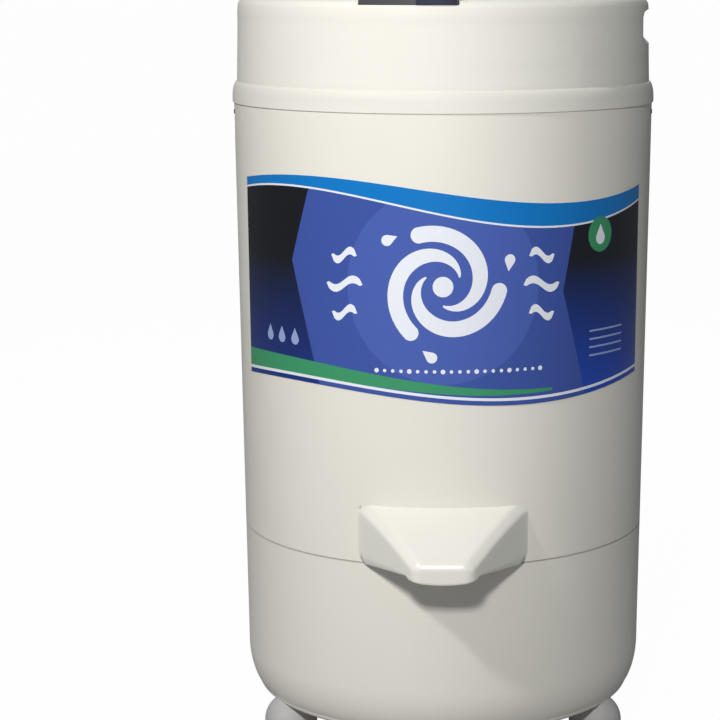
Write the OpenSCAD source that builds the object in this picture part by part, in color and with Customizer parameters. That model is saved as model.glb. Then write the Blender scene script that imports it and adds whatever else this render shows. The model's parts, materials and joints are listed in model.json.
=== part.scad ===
// Laundry spin dryer: a tall round casing with a hinged lid, a perforated drum
// on a vertical motor shaft, a catch basin and a drain spout at the front.
// Origin: at floor level, under the middle of the bounding box. +Z is up and the
// front faces -Y. The modules are drawn round the drum axis, and placed() moves
// them to the axis's place behind the origin.
// Azimuths are in degrees from the front, positive towards +X.

/* [Casing] */
// Outer radius of the casing at the seam under the top collar
casing_top_r = 185.6; // [182:0.1:192]
// Draft of the casing wall, in degrees
casing_taper = 0.69; // [0.3:0.01:1]
// Wall thickness of the moulded shells
wall = 3; // [2.5:0.1:3.4]
// Height of the casing's underside above the floor
underside_z = 35; // [34:0.5:36]
// Height of the seam between base shell and upper body
low_seam_z = 188; // [186:0.5:189]
// How far the seam under the top collar lies below the drum's upper edge
seam_drop = 27; // [20:1:30]
// Height of the top collar above its seam
collar_h = 91; // [88:1:100]
// Width of the rounded lower corner of the base shell
corner_w = 20; // [16:1:24]
// Height of the rounded lower corner of the base shell
corner_h = 43; // [36:1:48]

/* [Collar and lid] */
// How far the bead at the collar's foot stands proud
bead_out = 4.2; // [2:0.1:6]
// Radius of the collar's top rim rounding
rim_r = 8; // [6:0.5:9]
// Inner radius of the loading mouth
mouth_r = 124; // [120:1:126]
// Radius of the lid
lid_r = 156.2; // [154:0.1:157]
// Thickness of the lid
lid_wall = 2.6; // [2:0.1:3]
// Rise of the lid's dome above the collar's rim
lid_rise = 11; // [9:0.5:16]
// Depth of the finger recess at the collar's right side
grip_depth = 5; // [3:0.5:6]
// Height of the finger recess
grip_h = 26; // [20:1:30]

/* [Spout] */
// Width of the spout where it meets the casing
spout_w = 143; // [130:1:150]
// Width of the spout's nose
nose_w = 59; // [50:1:66]
// Reach of the spout in front of the casing
spout_reach = 55.5; // [50:0.5:60]
// Height of the spout at the casing
spout_h = 52; // [48:0.5:54]
// Height of the spout's nose
nose_h = 17; // [14:0.5:20]
// Wall thickness of the spout
spout_wall = 2.6; // [2:0.1:3]

/* [Drum and basin] */
// Outer radius of the spinning drum
drum_r = 128; // [124:0.5:130]
// Wall thickness of the drum
drum_wall_t = 1; // [0.8:0.1:1.5]
// Height of the drum's perforated wall
drum_h = 366; // [350:1:370]
// Radius of the holes in the drum
hole_r = 3.5; // [2.5:0.25:4.5]
// Rows of holes in the drum
hole_rows = 10; // [6:1:12]
// Holes in each row
holes_per_row = 20; // [12:1:24]
// Inner radius of the catch basin
basin_r = 160; // [158:0.5:161]
// Wall thickness of the catch basin
basin_wall = 2.5; // [2:0.1:3]

/* [Motor and brake] */
// Outer radius of the motor
motor_r = 66; // [62:1:70]
// Height of the stator's stack of laminations
stack_h = 44; // [36:1:46]
// Radius of the rotor
rotor_r = 35.6; // [33:0.1:36]
// Radius of the drum shaft in its bearings
shaft_r = 9; // [8:0.5:10]
// Radius of the circle of the three rubber mounts
mount_circle_r = 118; // [112:1:122]
// Radius of the brake drum
brake_r = 38; // [34:1:40]
// Travel of the brake arm, in degrees
brake_travel = 4.2; // [3:0.1:5]

/* [Feet] */
// Radius of the circle of the three feet
foot_circle_r = 158; // [150:1:159]
// Radius of a ball-shaped rubber foot
foot_r = 23.5; // [22:0.5:24]

/* [Hidden] */
$fn = 96;
eps = 0.5;

// Clearances
fit_gap = 0.03;
slip_gap = 0.2;
free_gap = 0.4;

// Heights that follow from the drum and the collar
basin_z = 200;
drum_floor_z = basin_z + 26;
drum_top_z = drum_floor_z + 3 + drum_h;
top_seam_z = drum_top_z - seam_drop;
collar_top_z = top_seam_z + collar_h;
recess_z = collar_top_z - 8;
basin_top_z = collar_top_z - 43;
floor_top_z = underside_z + wall;
low_r = casing_r(low_seam_z);

// Azimuths
leg_azimuths = [-60, 60, 180];
collar_screw_azimuths = [-80, 80, -150, 150];
motor_bolt_azimuths = [15, 105, 195, 285];

// Radius of the casing's outer wall at height z
function casing_r(z) = casing_top_r - (top_seam_z - z) * tan(casing_taper);

// Points along an elliptic arc
function arc(cx, cy, rx, ry, a0, a1, n = 10) =
    [for (i = [0:n]) let (a = a0 + (a1 - a0) * i / n) [cx + rx * cos(a), cy + ry * sin(a)]];

// Puts the drum axis where the machine, spout included, is centred on the origin
module placed() translate([0, (-nose_y - collar_foot_r - bead_out) / 2, 0]) children();

// Turns its children from the front to an azimuth
module at_azimuth(az) rotate([0, 0, az]) children();

// Copies its children to several azimuths at a distance from the axis
module ring_of(azimuths, r) for (az = azimuths) at_azimuth(az) translate([0, -r, 0]) children();

// Revolves an (r, z) profile between two azimuths
module sector(az0, az1) rotate([0, 0, az0 - 90]) rotate_extrude(angle = az1 - az0) children();

// A rectangle in (r, z)
module band(r0, r1, z0, z1) translate([r0, z0]) square([r1 - r0, z1 - z0]);

// A cylinder that points outwards along a radius, from r0 to r1
module radial_rod(az, z, r0, r1, rod_r) at_azimuth(az) translate([0, -r0, z]) rotate([90, 0, 0])
    cylinder(r = rod_r, h = r1 - r0);

// A bore through the casing's wall at an azimuth and height
module casing_bore(az, z, bore_r) radial_rod(az, z, casing_r(z) - wall - 9, casing_r(z) + 10, bore_r);

// A hexagonal prism, measured across its flats
module hexagon(flats, h) cylinder(r = flats / sqrt(3), h = h, $fn = 6);

// ---------------------------------------------------------------- casing

edge_r = 6;
seam_bevel = 0.8;
corner_cx = casing_r(underside_z + corner_h - 2) - corner_w;
corner_cz = underside_z + corner_h - 2;
edge_cx = corner_cx + corner_w * 0.56 - edge_r;
function base_outline(inset) = concat(
    arc(edge_cx, underside_z + edge_r, edge_r - inset * 0.5, edge_r - inset, -90, -10, 6),
    arc(corner_cx, corner_cz, corner_w - inset, corner_h - inset, -56, 0, 12));

// Spigot ring, motor columns, foot bosses and vents of the base
spigot_h = 10;
spigot_t = 2;
spigot_r = low_r - wall - slip_gap;
column_r = 16;
plate_z = 157;
mount_h = 30;
column_top_z = plate_z - mount_h;
mount_bolt_r = 3.9;
foot_boss_r = 10;
foot_boss_h = 16;
foot_screw_r = 2.2;
vent_slots = 18;
column_rib_l = 2 * column_r + 14;
column_rib_h = 40;
cable_low_z = 52;
cable_hole_r = 2.8;
cable_stop_az = -40;
gland_azimuth = 160;
gland_z = 95;
gland_r = 8;

module slot_outline(length, width) {
    square([length - width, width], center = true);
    for (side = [-1, 1]) translate([side * (length - width) / 2, 0]) circle(d = width);
}

module base_shell() color("#dcd8cb") difference() {
    union() {
        rotate_extrude() polygon(concat(
            [[0, underside_z]], base_outline(0),
            [[low_r - seam_bevel * tan(casing_taper), low_seam_z - seam_bevel],
             [low_r - seam_bevel, low_seam_z], [low_r - wall, low_seam_z]],
            [for (i = [18:-1:0]) base_outline(wall)[i]], [[0, floor_top_z]]));
        rotate_extrude() band(spigot_r - spigot_t, spigot_r, low_seam_z - spigot_h, low_seam_z + spigot_h);
        rotate_extrude() band(spigot_r - spigot_t, low_r - wall + eps, low_seam_z - spigot_h, low_seam_z - 1);
        ring_of(leg_azimuths, mount_circle_r) {
            translate([0, 0, floor_top_z - 1]) cylinder(r = column_r, h = column_top_z - floor_top_z + 1);
            for (turn = [45, 135]) rotate([0, 0, turn]) translate([0, 0, floor_top_z - 1 + column_rib_h / 2])
                cube([column_rib_l, 3, column_rib_h], center = true);
        }
        at_azimuth(cable_stop_az) translate([-6, -109, floor_top_z - 1])
            cube([12, 8, cable_low_z - floor_top_z + 7]);
        ring_of(leg_azimuths, foot_circle_r) translate([0, 0, underside_z + 1])
            cylinder(r = foot_boss_r, h = foot_boss_h);
    }
    radial_rod(cable_stop_az, cable_low_z, 90, 120, cable_hole_r);
    ring_of(leg_azimuths, mount_circle_r) translate([0, 0, column_top_z - 37])
        cylinder(r = mount_bolt_r, h = 60);
    ring_of(leg_azimuths, foot_circle_r) translate([0, 0, underside_z - 1])
        cylinder(r = foot_screw_r, h = foot_boss_h);
    for (i = [0:vent_slots - 1]) at_azimuth(i * 360 / vent_slots) translate([0, -70, underside_z - 1])
        linear_extrude(wall + 2) rotate([0, 0, 90]) slot_outline(38, 7);
    casing_bore(gland_azimuth, gland_z, gland_r + fit_gap);
}

// Upper body, with a ledge for the basin's flange and an opening for the drain
ledge_z = top_seam_z - 21;
ledge_t = 4;
ledge_in_r = 174;
opening_w = 44;
drain_z = 211;
drain_opening_z0 = low_seam_z + spigot_h + 1;
drain_opening_z1 = drain_z + 15;
spout_screw_az = 13;
spout_screw_z = 221;
spout_screw_r = 2;
collar_screw_z = top_seam_z - 8;
collar_screw_r = 2;
screw_head_r = 3.8;
screw_head_t = 1.6;

module upper_body() color("#f1ece2") difference() {
    union() {
        rotate_extrude() polygon([
            [low_r - seam_bevel, low_seam_z], [low_r, low_seam_z + seam_bevel], [casing_top_r, top_seam_z],
            [casing_top_r - wall, top_seam_z], [low_r - wall, low_seam_z]]);
        rotate_extrude() polygon([
            [casing_r(ledge_z - 12) - wall + eps, ledge_z - 12], [ledge_in_r, ledge_z],
            [ledge_in_r, ledge_z + ledge_t], [casing_r(ledge_z) - wall + eps, ledge_z + ledge_t]]);
    }
    translate([-opening_w / 2, -low_r - 5, drain_opening_z0])
        cube([opening_w, 30, drain_opening_z1 - drain_opening_z0]);
    for (side = [-1, 1]) casing_bore(side * spout_screw_az, spout_screw_z, spout_screw_r + slip_gap);
    for (az = collar_screw_azimuths) {
        casing_bore(az, collar_screw_z, collar_screw_r + slip_gap);
        radial_rod(az, collar_screw_z, casing_top_r - screw_head_t - 0.2, casing_top_r + 10,
            screw_head_r + slip_gap);
    }
}

// Top collar: bead, drafted wall, rounded rim, lid recess, loading mouth and splash rib
collar_foot_r = casing_top_r - 2.9;
collar_head_r = collar_foot_r - 1.6;
bead_h = 14.5;
bead_cz = top_seam_z + 3.5;
collar_spigot_h = 13.7;
collar_spigot_r = casing_top_r - wall - 0.35;
rim_c = [collar_head_r - rim_r, collar_top_z - rim_r];
recess_r = lid_r + 2.3;
lip_h = 4;
lip_t = 3.5;
neck_z = collar_top_z - 47;
rib_in_r = basin_r - 5;
rib_t = 2.5;
rib_z = basin_top_z - 10;

module collar_profile() polygon(concat(
    [[collar_spigot_r, top_seam_z - collar_spigot_h], [collar_spigot_r, top_seam_z]],
    arc(collar_foot_r, bead_cz, bead_out, bead_h, -asin((bead_cz - top_seam_z) / bead_h), 90, 14),
    [[collar_head_r + 0.3, recess_z - 12], [collar_head_r + 0.45, recess_z - 5]],
    arc(rim_c[0], rim_c[1], rim_r, rim_r, 0, 90, 8),
    [[recess_r + 2, collar_top_z], [recess_r, collar_top_z - 2], [recess_r, recess_z],
     [mouth_r + lip_t, recess_z], [mouth_r + lip_t, recess_z + lip_h], [mouth_r, recess_z + lip_h],
     [mouth_r, neck_z], [mouth_r + wall, neck_z], [mouth_r + wall, recess_z - wall],
     [rib_in_r, recess_z - wall], [rib_in_r, rib_z], [rib_in_r + rib_t, rib_z],
     [rib_in_r + rib_t, recess_z - wall], [recess_r + wall, recess_z - wall],
     [recess_r + wall, collar_top_z - wall]],
    arc(rim_c[0], rim_c[1], rim_r - wall, rim_r - wall, 90, 0, 6),
    [[collar_foot_r - wall, bead_cz + bead_h], [collar_spigot_r - wall, top_seam_z],
     [collar_spigot_r - wall, top_seam_z - collar_spigot_h]]));

// Latch: a curved track in a pocket of the rim, a slider on its rail, a tongue on the lid
pocket_z = collar_top_z - 4.5;
track_r0 = recess_r + 1.9;
track_r1 = collar_head_r - 0.7;
rail_r = track_r1 - 6.4;
tongue_r = rail_r - 5;
slider_r = track_r1 + 1.4;
latch_az0 = -22.3;
latch_az1 = 3.9;
slider_az0 = -6.9;
slider_az1 = 3.5;
tongue_az0 = -20.6;
tongue_az1 = -12.4;
grip_az = 90;
grip_half = 11;
grip_z0 = collar_top_z - 39;
grip_r = collar_head_r - grip_depth;

// Lid hinge at the rear
hinge_y = 164;
hinge_z = collar_top_z + 5.6;
knuckle_r = 5;
hinge_pin_r = 2;
lid_knuckle_x0 = 18;
lid_knuckle_x1 = 30;
ear_x0 = lid_knuckle_x1 + 0.4;
ear_x1 = 42;

module both_sides() {
    children();
    mirror([1, 0, 0]) children();
}

// A bar along X with its axis on the hinge
module hinge_bar(x0, x1, r) translate([x0, hinge_y, hinge_z]) rotate([0, 90, 0])
    cylinder(r = r, h = x1 - x0);

switch_az = 150;
switch_r = 142;
plunger_r = 2.5;

module top_collar() color("#eeeadf") difference() {
    union() {
        rotate_extrude() collar_profile();
        sector(latch_az0 - 2, latch_az1 + 2)
            band(recess_r + 1, collar_head_r - wall + 1, pocket_z - wall, collar_top_z - 1);
        sector(grip_az - grip_half - 3, grip_az + grip_half + 3)
            band(grip_r - wall, collar_head_r - 1, grip_z0 - 5, collar_top_z - rim_r);
        both_sides() {
            hinge_bar(ear_x0, ear_x1, knuckle_r);
            translate([ear_x0, hinge_y - knuckle_r, collar_top_z - 2])
                cube([ear_x1 - ear_x0, 2 * knuckle_r, hinge_z - collar_top_z + 2]);
        }
        for (az = collar_screw_azimuths)
            radial_rod(az, collar_screw_z, collar_spigot_r - 10, collar_spigot_r - 1, 5);
    }
    sector(latch_az0 - 0.3, latch_az1 + 0.3)
        band(recess_r - 1, collar_head_r + 5, pocket_z, collar_top_z + 5);
    sector(grip_az - grip_half, grip_az + grip_half) polygon([
        [grip_r, grip_z0 + 3], [grip_r + 1.5, grip_z0], [collar_head_r + 9, grip_z0],
        [collar_head_r + 9, grip_z0 + grip_h], [grip_r + 1.5, grip_z0 + grip_h],
        [grip_r, grip_z0 + grip_h - 3]]);
    both_sides() hinge_bar(ear_x0 - 1, ear_x1 - 2, hinge_pin_r + 0.02);
    for (az = collar_screw_azimuths)
        radial_rod(az, collar_screw_z, collar_spigot_r - 8, casing_top_r + 10, collar_screw_r);
    at_azimuth(switch_az) translate([0, -switch_r, recess_z - wall - 1])
        cylinder(r = plunger_r + slip_gap, h = wall + 2);
}

// ---------------------------------------------------------------- label

label_h = 195;
label_z1 = top_seam_z - 51;
label_z0 = label_z1 - label_h;
label_t = 0.45;
label_gap = 0.15;
label_half = 61;

// A sticker round the front of the casing, cut from a thin conical sheet
module label() color("#2f4fa6") sector(-label_half, label_half) polygon([
    [casing_r(label_z0) + label_gap, label_z0], [casing_r(label_z0) + label_t, label_z0],
    [casing_r(label_z1) + label_t, label_z1], [casing_r(label_z1) + label_gap, label_z1]]);

// ---------------------------------------------------------------- spout

spout_z0 = low_seam_z - 0.5;
spout_round = 6.5;
nose_round = 12;
nose_y = -(low_r + spout_reach);
spout_top_z = spout_z0 + spout_h;
spout_side_y = -sqrt(pow(low_r, 2) - pow(spout_w / 2, 2));
spout_mid_y = -sqrt(pow(low_r, 2) - pow(spout_w / 4, 2)) - 1;
cheek_lift = 4.5;
spout_boss_l = 15;

// The rounded wedge of the hood; inset makes it smaller on every side
module spout_form(inset, lift) {
    ball_r = spout_round - inset;
    hull() {
        for (side = [-1, 1]) {
            translate([side * (spout_w / 2 - spout_round), spout_side_y, spout_top_z - spout_round])
                sphere(r = ball_r, $fn = 32);
            translate([side * spout_w / 4, spout_mid_y, spout_top_z - spout_round])
                sphere(r = ball_r, $fn = 32);
            translate([side * (nose_w / 2 - spout_round - 1), nose_y + spout_round + 3,
                       spout_z0 + nose_h - spout_round]) sphere(r = ball_r, $fn = 32);
            translate([side * (spout_w / 2 - 8), spout_side_y, spout_z0 + 8 - lift]) rotate([90, 0, 0])
                cylinder(r = 8 - inset, h = 1, $fn = 32);
            translate([side * (nose_w / 2 - 8), nose_y + 12, spout_z0 + cheek_lift - lift])
                cylinder(r = 6.5 - inset, h = 1, $fn = 32);
        }
    }
}

// The nose of the hood, a rounded lip that hangs a little lower than the cheeks
module nose_form(inset, lift) {
    front_y = nose_y + nose_round;
    hull() {
        for (side = [-1, 1]) {
            translate([side * (nose_w / 2 - nose_round), front_y, spout_z0 - lift])
                cylinder(r = nose_round - inset, h = nose_h - 4, $fn = 32);
            translate([side * (nose_w / 2 - nose_round), front_y, spout_z0 + nose_h - 4])
                cylinder(r1 = nose_round - inset, r2 = nose_round - 3 - inset, h = 3.6 - inset, $fn = 32);
        }
    }
}

module spout() color("#f6f4ea") difference() {
    union() {
        difference() {
            union() {
                spout_form(0, 0);
                nose_form(0, 0);
            }
            union() {
                spout_form(spout_wall, 12);
                nose_form(spout_wall, 12);
            }
        }
        for (side = [-1, 1])
            radial_rod(side * spout_screw_az, spout_screw_z, low_r - 6, low_r + spout_boss_l, 5);
    }
    for (side = [-1, 1])
        radial_rod(side * spout_screw_az, spout_screw_z, low_r - 6, low_r + spout_boss_l - 3, spout_screw_r);
    rotate_extrude() polygon([
        [0, low_seam_z - 30], [casing_r(low_seam_z - 30) + 0.1, low_seam_z - 30],
        [casing_r(low_seam_z + 80) + 0.1, low_seam_z + 80], [0, low_seam_z + 80]]);
}

module spout_screws() color("#b8bcc0") for (side = [-1, 1]) {
    seat_r = casing_r(spout_screw_z) - wall;
    radial_rod(side * spout_screw_az, spout_screw_z, seat_r - 1, low_r + spout_boss_l - 5,
        spout_screw_r - fit_gap);
    radial_rod(side * spout_screw_az, spout_screw_z, seat_r - 3.2, seat_r - 0.4, 4);
}

// ---------------------------------------------------------------- feet and screws

foot_well_r = 8;
foot_well_h = 12;
foot_centre_z = 18;

// Rubber balls, flat where they stand and cut to the casing's underside
module feet() color("#bfbdbd") difference() {
    ring_of(leg_azimuths, foot_circle_r) difference() {
        translate([0, 0, foot_centre_z]) sphere(r = foot_r);
        translate([0, 0, -foot_r]) cylinder(r = foot_r, h = foot_r);
        translate([0, 0, -1]) cylinder(r = foot_well_r, h = foot_well_h + 1);
        cylinder(r = foot_screw_r + slip_gap, h = 2 * foot_r);
    }
    rotate_extrude() polygon(concat(
        [[0, underside_z - 0.05]], base_outline(-0.05), [[low_r, low_seam_z], [0, low_seam_z]]));
}

module foot_screws() color("#b8bcc0") ring_of(leg_azimuths, foot_circle_r) {
    translate([0, 0, foot_well_h - 3.4]) difference() {
        cylinder(r = 5.5, h = 3.4);
        for (turn = [0, 90]) rotate([0, 0, turn]) translate([-3, -0.6, -1]) cube([6, 1.2, 2.4]);
    }
    translate([0, 0, foot_well_h - 0.5])
        cylinder(r = foot_screw_r - fit_gap, h = underside_z + foot_boss_h - foot_well_h - 3);
}

module collar_screws() color("#6a6a6a") for (az = collar_screw_azimuths) difference() {
    union() {
        radial_rod(az, collar_screw_z, casing_top_r - screw_head_t - 0.1, casing_top_r - 0.3,
            screw_head_r);
        radial_rod(az, collar_screw_z, collar_spigot_r - 7, casing_top_r - screw_head_t,
            collar_screw_r - fit_gap);
    }
    for (turn = [0, 90]) at_azimuth(az) translate([0, -casing_top_r, collar_screw_z]) rotate([0, turn, 0])
        cube([4.4, 2, 0.9], center = true);
}

// ---------------------------------------------------------------- lid

lid_edge_z = recess_z + 0.5;
lid_top_z = collar_top_z + lid_rise;
lid_edge_r = 7;
dome_drop = 5;
plug_r = mouth_r - 2.5;
plug_z = recess_z - 3;
tongue_z0 = pocket_z + 2.9;
tongue_z1 = pocket_z + 7.3;
catch_foot_r = 146;

// Height of the lid's outer dome at radius r, less a thickness
function dome_z(r, t) = lid_top_z - t - dome_drop * pow(r / (lid_r - lid_edge_r), 2);
dome_steps = 12;
function dome_points(t, r_end) =
    [for (i = [0:dome_steps]) let (r = r_end * i / dome_steps) [r, dome_z(r, t)]];

module lid_profile() polygon(concat(
    dome_points(0, lid_r - lid_edge_r),
    arc(lid_r - lid_edge_r, lid_top_z - dome_drop - lid_edge_r, lid_edge_r, lid_edge_r, 80, 0, 7),
    [[lid_r, lid_edge_z], [lid_r - lid_wall, lid_edge_z]],
    arc(lid_r - lid_edge_r, lid_top_z - dome_drop - lid_edge_r,
        lid_edge_r - lid_wall, lid_edge_r - lid_wall, 0, 80, 5),
    [for (i = [dome_steps:-1:0]) dome_points(lid_wall, lid_r - lid_edge_r - 1)[i]]));

module lid() color("#f2efe6") difference() {
    union() {
        rotate_extrude() lid_profile();
        rotate_extrude() band(plug_r - 2.5, plug_r, plug_z, dome_z(plug_r, lid_wall) + 0.6);
        rotate_extrude() band(seal_r0 - 2, seal_r0 - 0.2, seal_z1 - 3, dome_z(seal_r0, lid_wall) + 0.6);
        rotate_extrude() band(seal_r1 + 0.2, seal_r1 + 2, seal_z1 - 3, dome_z(seal_r1, lid_wall) + 0.6);
        both_sides() {
            hinge_bar(lid_knuckle_x0, lid_knuckle_x1, knuckle_r);
            translate([lid_knuckle_x0, 140, hinge_z - knuckle_r])
                cube([lid_knuckle_x1 - lid_knuckle_x0, hinge_y - 140, knuckle_r + 1]);
        }
        at_azimuth(switch_az) translate([0, -switch_r, recess_z + 1.2])
            cylinder(r = 3.5, h = dome_z(switch_r, lid_wall) - recess_z);
    }
    both_sides() hinge_bar(lid_knuckle_x0 - 1, lid_knuckle_x1 + 1, hinge_pin_r + 0.06);
    sector(tongue_az0 - 0.01, tongue_az1 + 0.01)
        band(catch_foot_r + 1, lid_r + 1, tongue_z0 - fit_gap, tongue_z1 + fit_gap);
}

// Catch: a flat tongue pushed through a slot in the lid's edge, with a foot inside
module lid_catch() color("#55555a") sector(tongue_az0, tongue_az1) {
    band(catch_foot_r, tongue_r, tongue_z0, tongue_z1);
    band(catch_foot_r, catch_foot_r + 3, tongue_z0 - 2, tongue_z0 + 1);
}

seal_r0 = mouth_r - 0.2;
seal_r1 = mouth_r + lip_t + 0.2;
seal_z0 = recess_z + lip_h + 0.3;
seal_z1 = dome_z(seal_r1, lid_wall) - 0.3;
module lid_seal() color("#8c8c8c") rotate_extrude() polygon([
    [seal_r0, seal_z0 + 1.5], [(seal_r0 + seal_r1) / 2, seal_z0], [seal_r1, seal_z0 + 1.5],
    [seal_r1, seal_z1], [seal_r0, seal_z1]]);

module hinge_pins() color("#c4c7ca") both_sides() hinge_bar(lid_knuckle_x0 - 1.5, ear_x1 - 2.2, hinge_pin_r);

// ---------------------------------------------------------------- latch

rail_head_z = pocket_z + 5.5;

module latch_track() color("#55555a") {
    sector(latch_az0, latch_az1) {
        band(track_r0, track_r1, pocket_z, pocket_z + 2);
        band(rail_r - 1, rail_r + 1, pocket_z, rail_head_z + 1.6);
        band(rail_r - 3, rail_r + 3, rail_head_z, rail_head_z + 1.6);
        band(track_r1 - 1.5, track_r1, pocket_z, pocket_z + 5.5);
    }
    sector(latch_az0, latch_az0 + 0.5) band(rail_r - 4, track_r1, pocket_z, pocket_z + 8.5);
}

slider_z1 = pocket_z + 11.5;
hood_z = tongue_z1 + free_gap;
module latch_slider() color("#14143c") {
    sector(slider_az0, slider_az1) {
        band(track_r0, slider_r, hood_z, slider_z1);
        band(track_r1 + free_gap, slider_r, pocket_z + free_gap, slider_z1);
        for (side = [-1, 1]) {
            inner = rail_r + side * 3.4;
            outer = rail_r + side * 4.2;
            hook = rail_r + side * 1.4;
            band(min(inner, outer), max(inner, outer), pocket_z + 2.4, hood_z + eps);
            band(min(hook, outer), max(hook, outer), pocket_z + 2.4, rail_head_z - free_gap);
        }
    }
    for (i = [0:4]) sector(-4 + i * 1.2, -3.5 + i * 1.2)
        band(rail_r - 8, rail_r + 4, slider_z1 - 0.1, slider_z1 + 1);
}

// ---------------------------------------------------------------- basin and drain

flange_z = ledge_z + ledge_t;
flange_t = 3;
basin_corner = 8;
basin_out_r = basin_r + basin_wall;
basin_hub_r = 29;
basin_hub_wall = 3;
stub_r = 9;
stub_bore_r = 7;
tube_end_r = low_r + 17;

module catch_basin() color("#e6e6e2") difference() {
    union() {
        rotate_extrude() polygon(concat(
            [[basin_hub_r - basin_hub_wall, basin_z - 6], [basin_hub_r, basin_z - 6], [basin_hub_r, basin_z]],
            arc(basin_out_r - basin_corner, basin_z + basin_corner, basin_corner, basin_corner, -90, 0, 6),
            [[basin_out_r, flange_z], [casing_r(flange_z) - wall - 0.5, flange_z],
             [casing_r(flange_z) - wall - 0.5, flange_z + flange_t], [basin_out_r, flange_z + flange_t],
             [basin_out_r, basin_top_z], [basin_r, basin_top_z]],
            arc(basin_out_r - basin_corner, basin_z + basin_corner,
                basin_corner - basin_wall, basin_corner - basin_wall, 0, -90, 6),
            [[basin_hub_r, basin_z + basin_wall], [basin_hub_r, basin_z + 22],
             [basin_hub_r - basin_hub_wall, basin_z + 22]]));
        radial_rod(0, drain_z, basin_r + 1, basin_out_r + 11, stub_r);
    }
    radial_rod(0, drain_z, basin_r - 15, basin_out_r + 12, stub_bore_r);
    at_azimuth(cable_az_top) translate([0, -cable_wall_r, flange_z - 1])
        cylinder(r = cable_hole_r, h = flange_t + 2);
}

module drain_tube() color("#3a3a3c") difference() {
    radial_rod(0, drain_z, basin_out_r + 1, tube_end_r, stub_r + 2);
    radial_rod(0, drain_z, basin_out_r, basin_out_r + 11.5, stub_r + fit_gap);
    radial_rod(0, drain_z, basin_out_r, tube_end_r + 1, stub_bore_r);
    translate([0, -tube_end_r - 14, drain_z - 12]) rotate([-35, 0, 0]) cube([40, 12, 40], center = true);
}

// ---------------------------------------------------------------- drum

ring_h = 16;
hub_r = 45;
nut_z = drum_floor_z + 7;

// Wall of the drum: a rolled sheet with staggered rows of holes
module drum_wall() color("#c9ccd0") difference() {
    rotate_extrude() band(drum_r - drum_wall_t, drum_r, drum_floor_z + 1, drum_top_z - 2);
    for (row = [0:hole_rows - 1], i = [0:holes_per_row - 1])
        radial_rod((i + (row % 2) / 2) * 360 / holes_per_row,
            drum_floor_z + 26 + row * (drum_h - 62) / (hole_rows - 1), drum_r - 6, drum_r + 4, hole_r);
}

// Pressed floor of the drum, flanged up inside the wall
module drum_base() color("#c2c5c9") rotate_extrude() polygon([
    [shaft_r + fit_gap, drum_floor_z + 5], [hub_r, drum_floor_z + 5], [hub_r + 8, drum_floor_z + 1],
    [drum_r - drum_wall_t - 12, drum_floor_z + 1], [drum_r - drum_wall_t - 4, drum_floor_z + 6],
    [drum_r - drum_wall_t - 1, drum_floor_z + 16], [drum_r - drum_wall_t, drum_floor_z + 16],
    [drum_r - drum_wall_t, drum_floor_z + 2], [drum_r - drum_wall_t - 4, drum_floor_z],
    [hub_r + 8, drum_floor_z], [hub_r, drum_floor_z + 4], [shaft_r + fit_gap, drum_floor_z + 4]]);

// Hollow balance ring that closes the drum's upper edge
ring_in_r = mouth_r - 12;
module balance_ring() color("#f0f0ec") rotate_extrude() difference() {
    polygon(concat(
        [[ring_in_r + 2, drum_top_z - ring_h], [drum_r + 2.5, drum_top_z - ring_h]],
        arc(drum_r - 1.5, drum_top_z - 4, 4, 4, 0, 90, 5),
        arc(ring_in_r + 4, drum_top_z - 4, 4, 4, 90, 180, 5)));
    band(drum_r - drum_wall_t - 0.05, drum_r + 0.05, drum_top_z - ring_h - 1, drum_top_z - 1.9);
}

// Cast hub under the drum floor
module drum_hub() color("#a9adb1") difference() {
    rotate_extrude() polygon([
        [shaft_r + fit_gap, basin_z + 6], [20, basin_z + 6],
        [20, drum_floor_z - 3], [hub_r - 4, drum_floor_z - 1],
        [hub_r - 1, drum_floor_z + 3.9], [shaft_r + fit_gap, drum_floor_z + 3.9]]);
    for (i = [0:5]) at_azimuth(i * 60) translate([0, -31, drum_floor_z - 6]) cylinder(r = 4, h = 7);
}

module drum_nut() color("#b8bcc0") difference() {
    translate([0, 0, drum_floor_z + 5]) union() {
        cylinder(r = 15, h = 1.8);
        translate([0, 0, 1.8]) hexagon(22, 10);
    }
    translate([0, 0, drum_floor_z]) cylinder(r = shaft_end_r + fit_gap, h = 30);
}

// Cone that covers the nut inside the drum
module hub_cap() color("#e9e9e4") rotate_extrude() polygon(concat(
    [[hub_r - 2, drum_floor_z + 5.1]],
    arc(0, drum_floor_z + 9, hub_r - 2, 30, 0, 90, 12),
    arc(0, drum_floor_z + 9, hub_r - 4.4, 27.6, 90, 0, 12),
    [[hub_r - 4.4, drum_floor_z + 5.1]]));

// ---------------------------------------------------------------- shaft and motor

shaft_end_r = 6.5;
stack_z = 90;
stack_top_z = stack_z + stack_h;
shield_wall = 3;
bearing_r = 17.5;
bearing_w = 11;
upper_bearing_z = 150;
lower_bearing_z = 63;
core_r = shaft_r + 1.5;
hub_wall = 4;
motor_bolt_r = 2.5;
motor_bolt_circle = motor_r - 6.5;
motor_windows = 8;

module drum_shaft() color("#aab0b6") rotate_extrude() polygon([
    [0, 44], [7, 44], [7, lower_bearing_z - 3], [shaft_r, lower_bearing_z - 3],
    [shaft_r, lower_bearing_z + bearing_w + 0.3], [core_r, lower_bearing_z + bearing_w + 0.3],
    [core_r, upper_bearing_z - 0.3], [shaft_r, upper_bearing_z - 0.3], [shaft_r, drum_floor_z + 5],
    [shaft_end_r, drum_floor_z + 5], [shaft_end_r, drum_floor_z + 19], [shaft_end_r - 1, drum_floor_z + 20],
    [0, drum_floor_z + 20]]);

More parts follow.
